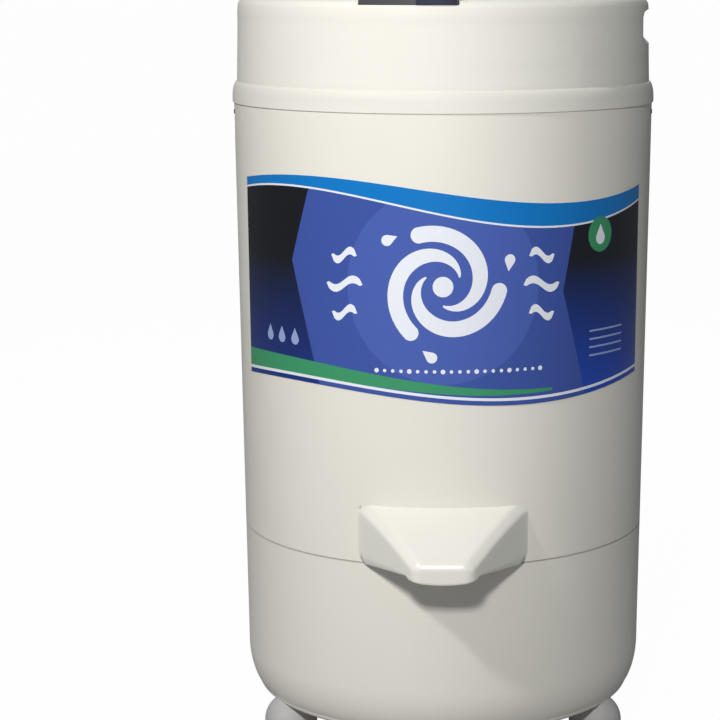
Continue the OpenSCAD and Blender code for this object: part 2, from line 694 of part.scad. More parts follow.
// Rubber bellows between the basin and the motor, so that water stays off the bearings
boot_r = bearing_r + hub_wall + 0.7;
boot_foot_z = plate_z + 4.2;
boot_cuff_z = basin_z - 6.2;
boot_fold = 6;
boot_t = 2.2;
function fold_z(i) = boot_foot_z + 12.8 + i * boot_fold;
module shaft_boot() color("#2c2c2e") rotate_extrude() polygon(concat(
    [[boot_r, boot_foot_z], [boot_r, boot_foot_z + 6.8], [boot_r + 1.8, boot_foot_z + 9.8]],
    [for (i = [0:2]) each [[boot_r + 7.8, fold_z(i)], [boot_r + 2.8, fold_z(i) + boot_fold / 2]]],
    [[boot_r + 3.8, boot_cuff_z], [basin_hub_r + 0.1, boot_cuff_z], [basin_hub_r + 0.1, basin_z - 0.2],
     [basin_hub_r + 2.4, basin_z - 0.2], [basin_hub_r + 2.4, boot_cuff_z - 2]],
    [for (i = [2:-1:0]) each [[boot_r + 2.8 + boot_t, fold_z(i) + boot_fold / 2],
                              [boot_r + 7.8 + boot_t, fold_z(i)]]],
    [[boot_r + 4.3, boot_foot_z + 9.3], [boot_r + 4.3, boot_foot_z]]));

module motor_plate() color("#8f9498") translate([0, 0, plate_z]) linear_extrude(4) difference() {
    union() {
        circle(r = motor_r + 5);
        for (az = leg_azimuths) rotate([0, 0, az]) {
            translate([-18, -mount_circle_r]) square([36, mount_circle_r]);
            translate([0, -mount_circle_r]) circle(r = 18);
        }
    }
    circle(r = bearing_r + hub_wall + 0.6);
    for (az = leg_azimuths) rotate([0, 0, az]) translate([0, -mount_circle_r])
        circle(r = mount_bolt_r + slip_gap);
    for (az = motor_bolt_azimuths) rotate([0, 0, az]) translate([0, -motor_bolt_circle])
        circle(r = motor_bolt_r + slip_gap);
}

// An end shield drawn with its open side down and its closed face at height h
module end_shield(h, hub_drop) difference() {
    union() {
        rotate_extrude() polygon([
            [bearing_r + fit_gap, h - hub_drop], [bearing_r + hub_wall, h - hub_drop],
            [bearing_r + hub_wall, h - 4], [motor_r - shield_wall, h - 4], [motor_r - shield_wall, 0],
            [motor_r, 0], [motor_r, h - 2], [motor_r - 2, h], [bearing_r + hub_wall, h],
            [bearing_r + hub_wall, h + 8], [shaft_r + 3, h + 8], [shaft_r + 3, h + 4.5],
            [bearing_r + fit_gap, h + 4.5]]);
        ring_of(motor_bolt_azimuths, motor_bolt_circle) cylinder(r = 5, h = h - 3);
    }
    ring_of(motor_bolt_azimuths, motor_bolt_circle) translate([0, 0, -1])
        cylinder(r = motor_bolt_r + slip_gap, h = h + 3);
    for (i = [0:motor_windows - 1]) at_azimuth(i * 360 / motor_windows + 37.5)
        translate([-9, -motor_r - 2, 4]) cube([18, 9, h - 12]);
}

module motor_upper_shield() color("#9da1a5") translate([0, 0, stack_top_z])
    end_shield(plate_z - stack_top_z, 10);

module motor_lower_shield() color("#9da1a5") difference() {
    union() {
        translate([0, 0, stack_z]) mirror([0, 0, 1]) end_shield(22.5, 10);
        translate([pivot[0], pivot[1], pivot_lug_z]) cylinder(r = 6, h = 69 - pivot_lug_z);
    }
    translate([pivot[0], pivot[1], pivot_lug_z - 1]) cylinder(r = pivot_r + 0.02, h = 10);
}

module stator_core() color("#6d7176") translate([0, 0, stack_z]) linear_extrude(stack_h) difference() {
    circle(r = motor_r);
    circle(r = rotor_r + free_gap);
    for (az = motor_bolt_azimuths) rotate([0, 0, az]) translate([0, -motor_bolt_circle])
        circle(r = motor_bolt_r + slip_gap);
}

module winding_ring() rotate_extrude() polygon(concat(
    [[39, 0]], [[52, 0]], arc(48.5, 8.5, 3.5, 3.5, 0, 90, 4), arc(42.5, 8.5, 3.5, 3.5, 90, 180, 4)));

module stator_windings() color("#b5651d") {
    translate([0, 0, stack_top_z]) winding_ring();
    translate([0, 0, stack_z]) mirror([0, 0, 1]) winding_ring();
}

module rotor() color("#8a8e93") rotate_extrude() polygon([
    [core_r + fit_gap, stack_z - 2], [26, stack_z - 2], [26, stack_z - 5], [rotor_r - 1.5, stack_z - 5],
    [rotor_r, stack_z - 2], [rotor_r, stack_top_z + 2], [rotor_r - 1.5, stack_top_z + 5],
    [26, stack_top_z + 5], [26, stack_top_z + 2], [core_r + fit_gap, stack_top_z + 2]]);

// Ball bearing drawn as two rings with a shield between them
module bearing(z) translate([0, 0, z]) rotate_extrude() polygon([
    [shaft_r + fit_gap, 0], [shaft_r + 2.6, 0], [shaft_r + 3, 0.6], [bearing_r - 3, 0.6],
    [bearing_r - 2.6, 0], [bearing_r, 0], [bearing_r, bearing_w], [bearing_r - 2.6, bearing_w],
    [bearing_r - 3, bearing_w - 0.6], [shaft_r + 3, bearing_w - 0.6], [shaft_r + 2.6, bearing_w],
    [shaft_r + fit_gap, bearing_w]]);

module upper_bearing() color("#9aa0a6") bearing(upper_bearing_z);

module lower_bearing() color("#9aa0a6") bearing(lower_bearing_z);

module motor_bolts() color("#b8bcc0") ring_of(motor_bolt_azimuths, motor_bolt_circle) {
    translate([0, 0, 64]) cylinder(r = motor_bolt_r, h = plate_z + 9 - 64);
    translate([0, 0, 63.8]) hexagon(8, 3.6);
    translate([0, 0, plate_z + 4.1]) hexagon(8, 4);
}

module rubber_mounts() color("#2a2a2c") ring_of(leg_azimuths, mount_circle_r) translate([0, 0, column_top_z])
    rotate_extrude() polygon([
        [mount_bolt_r + slip_gap, 0], [column_r, 0], [column_r, 5], [12, 9], [12, mount_h - 9],
        [column_r, mount_h - 5], [column_r, mount_h], [mount_bolt_r + slip_gap, mount_h]]);

module mount_bolts() color("#b8bcc0") ring_of(leg_azimuths, mount_circle_r) {
    translate([0, 0, column_top_z - 35]) cylinder(r = mount_bolt_r - fit_gap, h = mount_h + 40);
    translate([0, 0, plate_z + 4]) cylinder(r = 9, h = 1.6);
    translate([0, 0, plate_z + 5.6]) hexagon(13, 5.3);
}

// ---------------------------------------------------------------- capacitor

cap_r = 19;
cap_h = 62;
cap_y = -124;
cap_z = floor_top_z;

module run_capacitor() color("#d8d8d2") translate([0, cap_y, cap_z]) {
    rotate_extrude() polygon([[0, 0], [cap_r, 0], [cap_r, cap_h - 2], [cap_r - 2, cap_h], [0, cap_h]]);
    for (side = [-1, 1]) translate([side * 7 - 3, -0.4, cap_h - 1]) cube([6, 0.8, 9]);
}

module capacitor_clip() color("#9a9da0") {
    translate([0, cap_y, cap_z + 20]) linear_extrude(14) difference() {
        union() {
            circle(r = cap_r + 1.2);
            translate([-1.2, 0]) square([2.4, cap_r + 10]);
        }
        circle(r = cap_r + fit_gap);
    }
    translate([-6, cap_y + cap_r + 8, floor_top_z]) cube([12, 2, 34]);
}

// ---------------------------------------------------------------- brake

pivot = [-56, 30];
pivot_r = 3;
pivot_lug_z = 58;
arm_z = 50;
arm_t = 4;
lining_gap = 0.3;
cable_end = [-54, -62];

// Brings the applied brake back to its released place, round the pivot
module released() translate([pivot[0], pivot[1], 0]) rotate([0, 0, -brake_travel])
    translate([-pivot[0], -pivot[1], 0]) children();

module brake_drum() color("#85898d") rotate_extrude() polygon([
    [7 + fit_gap, 45], [14, 45], [14, 50], [brake_r - 4, 50], [brake_r - 4, 46], [brake_r, 46],
    [brake_r, 59], [brake_r - 4, 59], [brake_r - 4, 54], [14, 54], [14, 57], [7 + fit_gap, 57]]);

module brake_arm() color("#8f9498") released() difference() {
    union() {
        translate([0, 0, arm_z]) linear_extrude(arm_t) {
            translate(pivot) circle(r = 8);
            translate(cable_end) circle(r = 6);
            polygon([pivot + [-7, 0], pivot + [6, 0], [-47.5, 2], cable_end + [6, 2], cable_end + [-6, 0]]);
        }
        sector(-112, -68) band(brake_r + lining_gap + 5, brake_r + lining_gap + 7.5, 46.5, 58);
    }
    translate([pivot[0], pivot[1], arm_z - 1]) cylinder(r = pivot_r + 0.05, h = arm_t + 2);
    translate([cable_end[0], cable_end[1], arm_z - 1]) cylinder(r = 2, h = arm_t + 2);
}

module brake_lining() color("#5b4a3a") released() sector(-112, -68)
    band(brake_r + lining_gap, brake_r + lining_gap + 5, 46.5, 58);

module brake_pivot() color("#b8bcc0") translate([pivot[0], pivot[1], 0]) {
    translate([0, 0, 45.5]) cylinder(r = 6, h = 2.5);
    translate([0, 0, 47]) cylinder(r = pivot_r, h = 19);
}

// Brake cable: from the arm along the casing's inner wall up to the lid's hinge
cable_r = 2.5;
cable_wall_r = 169.5;
cable_az_top = -140;
cable_sides = 10;
// Seam height that the route was drawn for, and where its straight upper end begins
cable_seam_z = 568;
cable_turn_z = 540;
// Radius, azimuth and height of the route's points
cable_polar = [
    [97, -40, cable_low_z], [104, -40, cable_low_z], [112, -40, cable_low_z], [124, -39, 54],
    [138, -38, 61], [150, -38, 73], [159, -39, 91],
    [165, -41, 113], [168, -45, 140], [169.5, -51, 170], [169.5, -58, 205], [169.5, -67, 245],
    [169.5, -77, 285],
    [169.5, -88, 325], [169.5, -99, 365], [169.5, -110, 405], [169.5, -120, 445], [169.5, -129, 480],
    [169.5, -136, 515], [169.5, -140, 540], [169.5, -140, 552.5], [169.5, -140, 566], [169.5, -141, 590],
    [169, -145, 612], [168, -151, 628], [166, -158, 638]
];
cable_rise = top_seam_z - cable_seam_z;
cable_grow = (cable_turn_z + cable_rise - low_seam_z) / (cable_turn_z - low_seam_z);
function lifted(z) = z < low_seam_z ? z : z > cable_turn_z ? z + cable_rise
    : low_seam_z + (z - low_seam_z) * cable_grow;
cable_route = [for (p = cable_polar) [p[0] * sin(p[1]), -p[0] * cos(p[1]), lifted(p[2])]];
cable_steps = 2;

// A point on the smooth curve through the route's points
function route_point(i, t) = let (
        n = len(cable_route) - 1,
        a = cable_route[max(i - 1, 0)], b = cable_route[i], c = cable_route[min(i + 1, n)],
        d = cable_route[min(i + 2, n)])
    0.5 * (2 * b + (c - a) * t + (2 * a - 5 * b + 4 * c - d) * t * t + (3 * b - a - 3 * c + d) * t * t * t);
cable_points = concat(
    [for (i = [0:len(cable_route) - 2], k = [0:cable_steps - 1]) route_point(i, k / cable_steps)],
    [cable_route[len(cable_route) - 1]]);

function unit(v) = v / norm(v);

// A round tube swept along points that never turn back on themselves
module tube_along(points, r, sides) {
    n = len(points);
    rings = [for (i = [0:n - 1]) let (
            dir = unit(points[min(i + 1, n - 1)] - points[max(i - 1, 0)]),
            side = unit(cross(dir, abs(dir[2]) > 0.9 ? [0, 1, 0] : [0, 0, 1])),
            up = cross(side, dir))
        [for (k = [0:sides - 1]) let (turn = k * 360 / sides)
            points[i] + r * (cos(turn) * side + sin(turn) * up)]];
    polyhedron(
        points = [for (ring = rings) each ring],
        faces = concat(
            [[for (k = [0:sides - 1]) k]], [[for (k = [sides - 1:-1:0]) (n - 1) * sides + k]],
            [for (i = [0:n - 2], k = [0:sides - 1]) let (m = (k + 1) % sides)
                each [[i * sides + k, (i + 1) * sides + k, i * sides + m],
                      [i * sides + m, (i + 1) * sides + k, (i + 1) * sides + m]]]));
}

module brake_cable() color("#1e1e20") tube_along(cable_points, cable_r, cable_sides);

// ---------------------------------------------------------------- switch and gland

module lid_switch() color("#303034") difference() {
    at_azimuth(switch_az) translate([-11, -switch_r - 7, recess_z - wall - 18]) cube([22, 14, 17.8]);
    at_azimuth(switch_az) translate([0, -switch_r, recess_z - wall - 14])
        cylinder(r = plunger_r + slip_gap, h = 20);
}

plunger_top_z = recess_z + 0.8;
module switch_plunger() color("#c23b2e") at_azimuth(switch_az) translate([0, -switch_r, plunger_top_z - 15])
    cylinder(r = plunger_r, h = 15);

module cord_gland() color("#d6d3c8") {
    gland_wall_r = casing_r(gland_z);
    difference() {
        union() {
            radial_rod(gland_azimuth, gland_z, gland_wall_r - wall - 8, gland_wall_r + 1, gland_r);
            radial_rod(gland_azimuth, gland_z, gland_wall_r + 0.4, gland_wall_r + 4, gland_r + 3);
            radial_rod(gland_azimuth, gland_z, gland_wall_r + 3, gland_wall_r + 12, gland_r - 2);
            at_azimuth(gland_azimuth) translate([0, -(gland_wall_r - wall - 6), gland_z]) rotate([90, 0, 0])
                hexagon(22, 5);
        }
        radial_rod(gland_azimuth, gland_z, gland_wall_r - wall - 20, gland_wall_r + 20, 3.6);
    }
}

placed() base_shell();
placed() upper_body();
placed() top_collar();
placed() label();
placed() spout();
placed() spout_screws();
placed() feet();
placed() foot_screws();
placed() collar_screws();
placed() lid();
placed() lid_catch();
placed() lid_seal();
placed() hinge_pins();
placed() latch_track();
placed() latch_slider();
placed() catch_basin();
placed() drain_tube();
placed() drum_wall();
placed() drum_base();
placed() balance_ring();
placed() drum_hub();
placed() drum_nut();
placed() hub_cap();
placed() drum_shaft();
placed() shaft_boot();
placed() motor_plate();
placed() motor_upper_shield();
placed() motor_lower_shield();
placed() stator_core();
placed() stator_windings();
placed() rotor();
placed() upper_bearing();
placed() lower_bearing();
placed() motor_bolts();
placed() rubber_mounts();
placed() mount_bolts();
placed() run_capacitor();
placed() capacitor_clip();
placed() brake_drum();
placed() brake_arm();
placed() brake_lining();
placed() brake_pivot();
placed() brake_cable();
placed() lid_switch();
placed() switch_plunger();
placed() cord_gland();
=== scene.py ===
# %% [markdown]
# # A laundry spin dryer, dressed for its portrait
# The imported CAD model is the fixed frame: every piece that moves, carries or fits is already there, at its
# real size. This script adds what the eye judges: moulded shells with soft edges, a printed sticker, rubber
# feet, a drain spout, and a finish for every part, then the camera and the light of a plain product photo.
# The drum axis stands a little behind the origin, because the spout sticks out at the front and the origin
# lies under the middle of the whole machine.

import json
import math
from math import cos, pi, radians, sin, sqrt, tan

import bmesh
import bpy
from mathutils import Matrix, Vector
from mathutils.geometry import delaunay_2d_cdt

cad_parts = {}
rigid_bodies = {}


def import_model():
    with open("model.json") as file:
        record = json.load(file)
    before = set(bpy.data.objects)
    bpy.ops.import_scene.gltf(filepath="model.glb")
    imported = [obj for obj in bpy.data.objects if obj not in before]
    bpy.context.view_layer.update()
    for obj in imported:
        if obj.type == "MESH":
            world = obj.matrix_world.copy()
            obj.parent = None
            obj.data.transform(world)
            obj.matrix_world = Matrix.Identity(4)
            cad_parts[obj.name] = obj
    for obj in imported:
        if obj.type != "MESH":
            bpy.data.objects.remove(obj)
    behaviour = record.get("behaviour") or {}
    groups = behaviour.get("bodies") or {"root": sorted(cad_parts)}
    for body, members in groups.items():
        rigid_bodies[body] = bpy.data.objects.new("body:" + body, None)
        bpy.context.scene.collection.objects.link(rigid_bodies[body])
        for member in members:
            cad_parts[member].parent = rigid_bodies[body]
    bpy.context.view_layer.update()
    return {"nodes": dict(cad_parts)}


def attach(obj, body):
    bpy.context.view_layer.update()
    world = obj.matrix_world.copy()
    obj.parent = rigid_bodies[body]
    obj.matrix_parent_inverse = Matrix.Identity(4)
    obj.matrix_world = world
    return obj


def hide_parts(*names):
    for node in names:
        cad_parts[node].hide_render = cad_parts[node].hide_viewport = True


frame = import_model()
MM = 0.001
AXIS_Y = 0.024812
LOW_SEAM_Z = 0.188

# %% [markdown]
# ## Camera
# The photo was taken from the height of the machine's top edge, looking slightly down. The machine stands
# right of the picture's centre, so the lens is shifted instead of the camera being turned: a turned camera
# would show the casing's other side.

# %% Camera
PICTURE_PX = 720
FOCAL_PX = 2155.2
AXIS_PX = 443
CAMERA_BACK = 1.9331
CAMERA_UP = 0.6857
CAMERA_DOWN_DEG = 10.368

camera_data = bpy.data.cameras.new("portrait_camera")
camera_data.sensor_width = 36
camera_data.lens = FOCAL_PX * camera_data.sensor_width / PICTURE_PX
camera_data.shift_x = (PICTURE_PX / 2 - AXIS_PX) / PICTURE_PX
camera = bpy.data.objects.new("portrait_camera", camera_data)
camera.location = (0, AXIS_Y - CAMERA_BACK, CAMERA_UP)
camera.rotation_euler = (radians(90 - CAMERA_DOWN_DEG), 0, 0)
bpy.context.collection.objects.link(camera)
bpy.context.scene.camera = camera
bpy.context.scene.view_settings.view_transform = "Standard"
print("lens", round(camera_data.lens, 2), "mm, shift", round(camera_data.shift_x, 4))

# %% [markdown]
# ## Node helpers
# A material here is a small graph of nodes. The class below keeps each recipe short. Its noises read Object
# coordinates, so the pattern sticks to the piece in every view and export.

# %% Material helpers
def linear(rgb):
    """A colour given as 0-255 picture values, in the linear values that a shader wants."""
    steps = [c / 255 for c in rgb]
    return tuple(c / 12.92 if c <= 0.04045 else ((c + 0.055) / 1.055) ** 2.4 for c in steps) + (1.0,)


class Recipe:
    """One material: its shader, its Object coordinates, and the nodes that feed them."""

    made = []

    def __init__(self, name, rgb, roughness, metallic=0.0):
        self.made.append(name)
        self.material = bpy.data.materials.new(name)
        self.material.use_nodes = True
        self.nodes = self.material.node_tree.nodes
        self.links = self.material.node_tree.links
        self.shader = self.nodes["Principled BSDF"]
        self.shader.inputs["Base Color"].default_value = linear(rgb)
        self.shader.inputs["Roughness"].default_value = roughness
        self.shader.inputs["Metallic"].default_value = metallic
        self.coordinates = self.nodes.new("ShaderNodeTexCoord").outputs["Object"]
        self.rgb = linear(rgb)
        self.roughness = roughness

    def stretched(self, scale):
        """Object coordinates with a scale of their own along each axis."""
        mapping = self.nodes.new("ShaderNodeMapping")
        mapping.inputs["Scale"].default_value = scale
        self.links.new(self.coordinates, mapping.inputs["Vector"])
        return mapping.outputs["Vector"]

    def noise(self, scale, detail=2.0, along=None):
        node = self.nodes.new("ShaderNodeTexNoise")
        node.inputs["Scale"].default_value = scale
        node.inputs["Detail"].default_value = detail
        self.links.new(along or self.coordinates, node.inputs["Vector"])
        return node.outputs["Fac"]

    def band_at(self, z, half):
        """One at the height z, falling to zero at half above and below it."""
        split = self.nodes.new("ShaderNodeSeparateXYZ")
        self.links.new(self.coordinates, split.inputs[0])
        away = self.nodes.new("ShaderNodeMath")
        away.operation = "SUBTRACT"
        away.inputs[1].default_value = z
        self.links.new(split.outputs["Z"], away.inputs[0])
        size = self.nodes.new("ShaderNodeMath")
        size.operation = "ABSOLUTE"
        self.links.new(away.outputs[0], size.inputs[0])
        return self.ranged(size.outputs[0], 1.0, 0.0, half / 3, half)

    def ranged(self, value, low, high, from_low=0.3, from_high=0.7):
        """Spreads the stretch of value between from_low and from_high over low to high."""
        node = self.nodes.new("ShaderNodeMapRange")
        node.inputs["From Min"].default_value = from_low
        node.inputs["From Max"].default_value = from_high
        node.inputs["To Min"].default_value = low
        node.inputs["To Max"].default_value = high
        self.links.new(value, node.inputs["Value"])
        return node.outputs["Result"]

    def tint(self, value, rgb, amount=1.0):
        """Mixes another colour into the base colour where value is high."""
        mix = self.nodes.new("ShaderNodeMix")
        mix.data_type = "RGBA"
        old = self.shader.inputs["Base Color"]
        if old.is_linked:
            self.links.new(old.links[0].from_socket, mix.inputs["A"])
        else:
            mix.inputs["A"].default_value = self.rgb
        mix.inputs["B"].default_value = linear(rgb)
        scaled = self.ranged(value, 0.0, amount, 0.0, 1.0)
        self.links.new(scaled, mix.inputs["Factor"])
        self.links.new(mix.outputs["Result"], old)

    def vary_roughness(self, value, spread):
        self.links.new(self.ranged(value, self.roughness - spread, self.roughness + spread),
                       self.shader.inputs["Roughness"])

    def bump(self, value, height, strength=1.0):
        """Adds a relief on top of those that the shader already has."""
        node = self.nodes.new("ShaderNodeBump")
        node.inputs["Distance"].default_value = height
        node.inputs["Strength"].default_value = strength
        self.links.new(value, node.inputs["Height"])
        old = self.shader.inputs["Normal"]
        if old.is_linked:
            self.links.new(old.links[0].from_socket, node.inputs["Normal"])
        self.links.new(node.outputs["Normal"], old)

    def sockets(self, **values):
        """Sets further values of the shader by the names of its sockets."""
        for name, value in values.items():
            self.shader.inputs[name.replace("_", " ")].default_value = value
        return self


# %% [markdown]
# ## Finishes
# Moulded polypropylene is never one flat colour. Under studio light it shows a fine orange-peel texture, a
# slightly uneven sheen, and a faint warm or grey drift over a hand's width. Each plastic below has those
# three. Two level bands of painted shade come on top: a thin dark line along the joint between the two halves
# of the casing, and a greyer band on the bead of the collar that tones down its bright top. Metals get the
# marks of the way they were made: drawing lines round the drum, casting grain on the motor, stacked sheets on
# the stator.

# %% Plastic finishes
def moulded_plastic(name, rgb, roughness, drift_rgb, peel=0.00004, painted_shade_band=None, gloss=0.45):
    """Moulded plastic; the optional band is a level band of painted shade: height, half width, colour and
    strength.
    """
    recipe = Recipe(name, rgb, roughness)
    drift = recipe.ranged(recipe.noise(scale=5, detail=3), 0, 1, 0.42, 0.7)
    specks = recipe.ranged(recipe.noise(scale=900), 0, 1, 0.6, 0.8)
    recipe.tint(drift, drift_rgb, 0.35)
    recipe.tint(specks, drift_rgb, 0.18)
    uneven_sheen = recipe.noise(scale=22, detail=3)
    recipe.vary_roughness(uneven_sheen, 0.05)
    orange_peel = recipe.noise(scale=700)
    recipe.bump(orange_peel, peel, 0.6)
    flow_waves = recipe.noise(scale=60)
    recipe.bump(flow_waves, 0.0002, 0.08)
    # The band is painted shade: a darker tint at one height, fading above and below it.
    if painted_shade_band:
        height, half_width, tint_rgb, strength = painted_shade_band
        recipe.tint(recipe.band_at(height, half_width), tint_rgb, strength)
    return recipe.sockets(IOR=1.49, Specular_IOR_Level=gloss).material


# Painted shade: a thin darker line along the joint between the base and the upper body, where the gap lies in
# shade.
SEAM_PAINTED_SHADE = (LOW_SEAM_Z, 0.0012, (110, 106, 98), 0.5)
# Painted shade: a greyer band round the collar's bead, which tones down the bright top that the lamps give
# it.
BEAD_PAINTED_SHADE = (0.5805, 0.0105, (206, 204, 197), 0.36)
casing_plastic = moulded_plastic("casing_plastic", (233, 230, 222), 0.42, (224, 220, 210), painted_shade_band=SEAM_PAINTED_SHADE)
base_plastic = moulded_plastic("base_plastic", (232, 229, 221), 0.44, (223, 219, 209), painted_shade_band=SEAM_PAINTED_SHADE)
collar_plastic = moulded_plastic("collar_plastic", (232, 230, 223), 0.5, (223, 220, 211),
                                 painted_shade_band=BEAD_PAINTED_SHADE, gloss=0.25)
lid_plastic = moulded_plastic("lid_plastic", (236, 234, 228), 0.36, (227, 224, 216))
spout_plastic = moulded_plastic("spout_plastic", (233, 231, 223), 0.32, (226, 223, 214), 0.00002)
basin_plastic = moulded_plastic("basin_plastic", (222, 222, 217), 0.38, (206, 206, 200))
latch_grey = moulded_plastic("latch_grey", (72, 72, 77), 0.40, (60, 60, 66))
latch_navy = moulded_plastic("latch_navy", (26, 22, 54), 0.30, (18, 16, 44), 0.00002)
switch_plastic = moulded_plastic("switch_plastic", (42, 42, 45), 0.45, (34, 34, 37))
button_plastic = moulded_plastic("button_plastic", (168, 52, 42), 0.35, (148, 44, 36))
print("plastics:", ", ".join(Recipe.made))

# %% Rubber finishes
def moulded_rubber(name, rgb, tint_rgb):
    """Dull rubber that holds dirt, in patches and in its pores."""
    recipe = Recipe(name, rgb, 0.72)
    patches = recipe.ranged(recipe.noise(scale=40, detail=4), 0, 1, 0.45, 0.75)
    pores = recipe.ranged(recipe.noise(scale=600), 0, 1, 0.55, 0.8)
    recipe.tint(patches, tint_rgb, 0.5)
    recipe.tint(pores, tint_rgb, 0.25)
    recipe.vary_roughness(recipe.noise(scale=90, detail=3), 0.08)
    mould_grain = recipe.noise(scale=1500)
    recipe.bump(mould_grain, 0.00006, 0.7)
    return recipe.sockets(Specular_IOR_Level=0.35, Sheen_Weight=0.08).material


foot_rubber = moulded_rubber("foot_rubber", (186, 184, 185), (168, 164, 162))
black_rubber = moulded_rubber("black_rubber", (36, 36, 38), (58, 56, 54))
seal_rubber = moulded_rubber("seal_rubber", (112, 112, 112), (128, 126, 122))
cable_sleeve = moulded_rubber("cable_sleeve", (28, 28, 30), (44, 43, 42))
print("finishes so far:", len(Recipe.made))

# %% Metal finishes
STAIN_SHADE = 0.82


def metal(name, rgb, roughness, lines=(60, 60, 60), line_depth=0.00002, stain_rgb=None, metallic=1.0):
    """A metal with fine lines: a stretched noise is dense along one axis and long along the others."""
    recipe = Recipe(name, rgb, roughness, metallic)
    grain = recipe.noise(scale=12, detail=3, along=recipe.stretched(lines))
    recipe.vary_roughness(grain, 0.07)
    recipe.bump(grain, line_depth, 0.5)
    stains = recipe.ranged(recipe.noise(scale=18, detail=4), 0, 1, 0.5, 0.8)
    darker = tuple(int(c * STAIN_SHADE) for c in rgb)
    recipe.tint(stains, stain_rgb or darker, 0.5)
    return recipe.material


drum_steel = metal("drum_steel", (205, 207, 210), 0.26, (3, 3, 220))
bolt_zinc = metal("bolt_zinc", (190, 192, 190), 0.34, (80, 80, 80), 0.00001, (168, 166, 148))
dark_screw = metal("dark_screw", (70, 70, 72), 0.42, (90, 90, 90), 0.00001)
cast_grey = metal("cast_grey", (170, 173, 176), 0.55, (40, 40, 40), 0.0001)
stack_steel = metal("stack_steel", (112, 114, 118), 0.45, (2, 2, 600), 0.00008, (92, 72, 58))
turned_steel = metal("turned_steel", (186, 189, 193), 0.25, (4, 4, 500), 0.00001)
painted_steel = metal("painted_steel", (128, 132, 136), 0.42, (50, 50, 50), 0.00005, (104, 104, 104), 0.1)
print("finishes so far:", len(Recipe.made))

# %% Winding and brake lining
def winding_finish():
    """Varnished copper wire: level turns, darker between them."""
    recipe = Recipe("varnished_copper", (164, 88, 42), 0.32, 0.6)
    turns = recipe.nodes.new("ShaderNodeTexWave")
    turns.bands_direction = "Z"
    turns.inputs["Scale"].default_value = 180
    turns.inputs["Distortion"].default_value = 2.5
    recipe.links.new(recipe.coordinates, turns.inputs["Vector"])
    recipe.bump(turns.outputs["Fac"], 0.0003, 0.8)
    recipe.tint(turns.outputs["Fac"], (112, 52, 24), 0.6)
    return recipe.sockets(Coat_Weight=0.4, Coat_Roughness=0.2).material


def lining_finish():
    """Pressed felt with pale fibres."""
    recipe = Recipe("brake_lining_felt", (84, 66, 50), 0.85)
    fibres = recipe.ranged(recipe.noise(scale=500, detail=4), 0, 1, 0.4, 0.6)
    recipe.tint(fibres, (132, 112, 84), 0.7)
    recipe.bump(recipe.noise(scale=800, detail=3), 0.0002, 0.8)
    return recipe.material


varnished_copper = winding_finish()
lining_felt = lining_finish()
print("finishes so far:", len(Recipe.made))

# %% [markdown]
# ## Give every CAD part its finish
# A part that is already right keeps its CAD mesh and only gets a better material. The dictionary goes by node
# and names the finish of each.

# %% Finishes of the CAD parts
FINISH_OF = {
    "base_shell": base_plastic, "upper_body": casing_plastic, "top_collar": collar_plastic,
    "collar_screws": dark_screw, "label": casing_plastic, "cord_gland": base_plastic, "feet": foot_rubber,
    "foot_screws": bolt_zinc, "spout": spout_plastic, "spout_screws": bolt_zinc, "lid": lid_plastic,
    "lid_catch": latch_grey, "lid_seal": seal_rubber, "hinge_pins": turned_steel, "latch_track": latch_grey,
    "latch_slider": latch_navy, "catch_basin": basin_plastic, "drain_tube": black_rubber,
    "drum_wall": drum_steel, "drum_base": drum_steel, "balance_ring": basin_plastic, "drum_hub": cast_grey,
    "drum_nut": bolt_zinc, "hub_cap": basin_plastic, "drum_shaft": turned_steel, "shaft_boot": black_rubber,
    "motor_plate": painted_steel, "motor_upper_shield": cast_grey, "motor_lower_shield": cast_grey,
    "stator_core": stack_steel, "stator_windings": varnished_copper, "rotor": stack_steel,
    "upper_bearing": turned_steel, "lower_bearing": turned_steel, "motor_bolts": bolt_zinc,
    "rubber_mounts": black_rubber, "mount_bolts": bolt_zinc, "run_capacitor": basin_plastic,
    "capacitor_clip": bolt_zinc, "brake_drum": cast_grey, "brake_arm": painted_steel,
    "brake_lining": lining_felt, "brake_pivot": bolt_zinc, "brake_cable": cable_sleeve,
    "lid_switch": switch_plastic, "switch_plunger": button_plastic,
}
for node_name, node_object in frame["nodes"].items():
    node_object.data.materials.clear()
    node_object.data.materials.append(FINISH_OF[node_name])
print("parts with a finish:", len(frame["nodes"]))

# %% [markdown]
# ## Drain spout
# On the machine this is one injection moulded hood: a flat ramp with a rolled border, upright cheeks that
# narrow towards the nose, and a lip that hangs a little lower than the cheeks and throws the water clear of
# the casing. It is lofted here as a thin shell. One rail runs round the plan outline from the casing to the
# nose and back; at each point of it a section climbs the cheek, crosses the border and runs back to the wall.
# The spout's sizes are in millimetres, measured from the drum axis and the floor.

# %% The casing's cone
CASING_TOP_R = 0.1856
CASING_TOP_Z = 0.568
CASING_SLOPE = tan(radians(0.69))


def casing_radius(z):
    return CASING_TOP_R - (CASING_TOP_Z - z) * CASING_SLOPE


def outside_casing(x, y, z, gap=0.1):
    """Moves a point in millimetres outwards, if it lies inside the casing's cone or closer than gap."""
    least = casing_radius(z * MM) / MM + gap
    r = sqrt(x * x + y * y)
    return (x, y, z) if r >= least else (x * least / r, y * least / r, z)


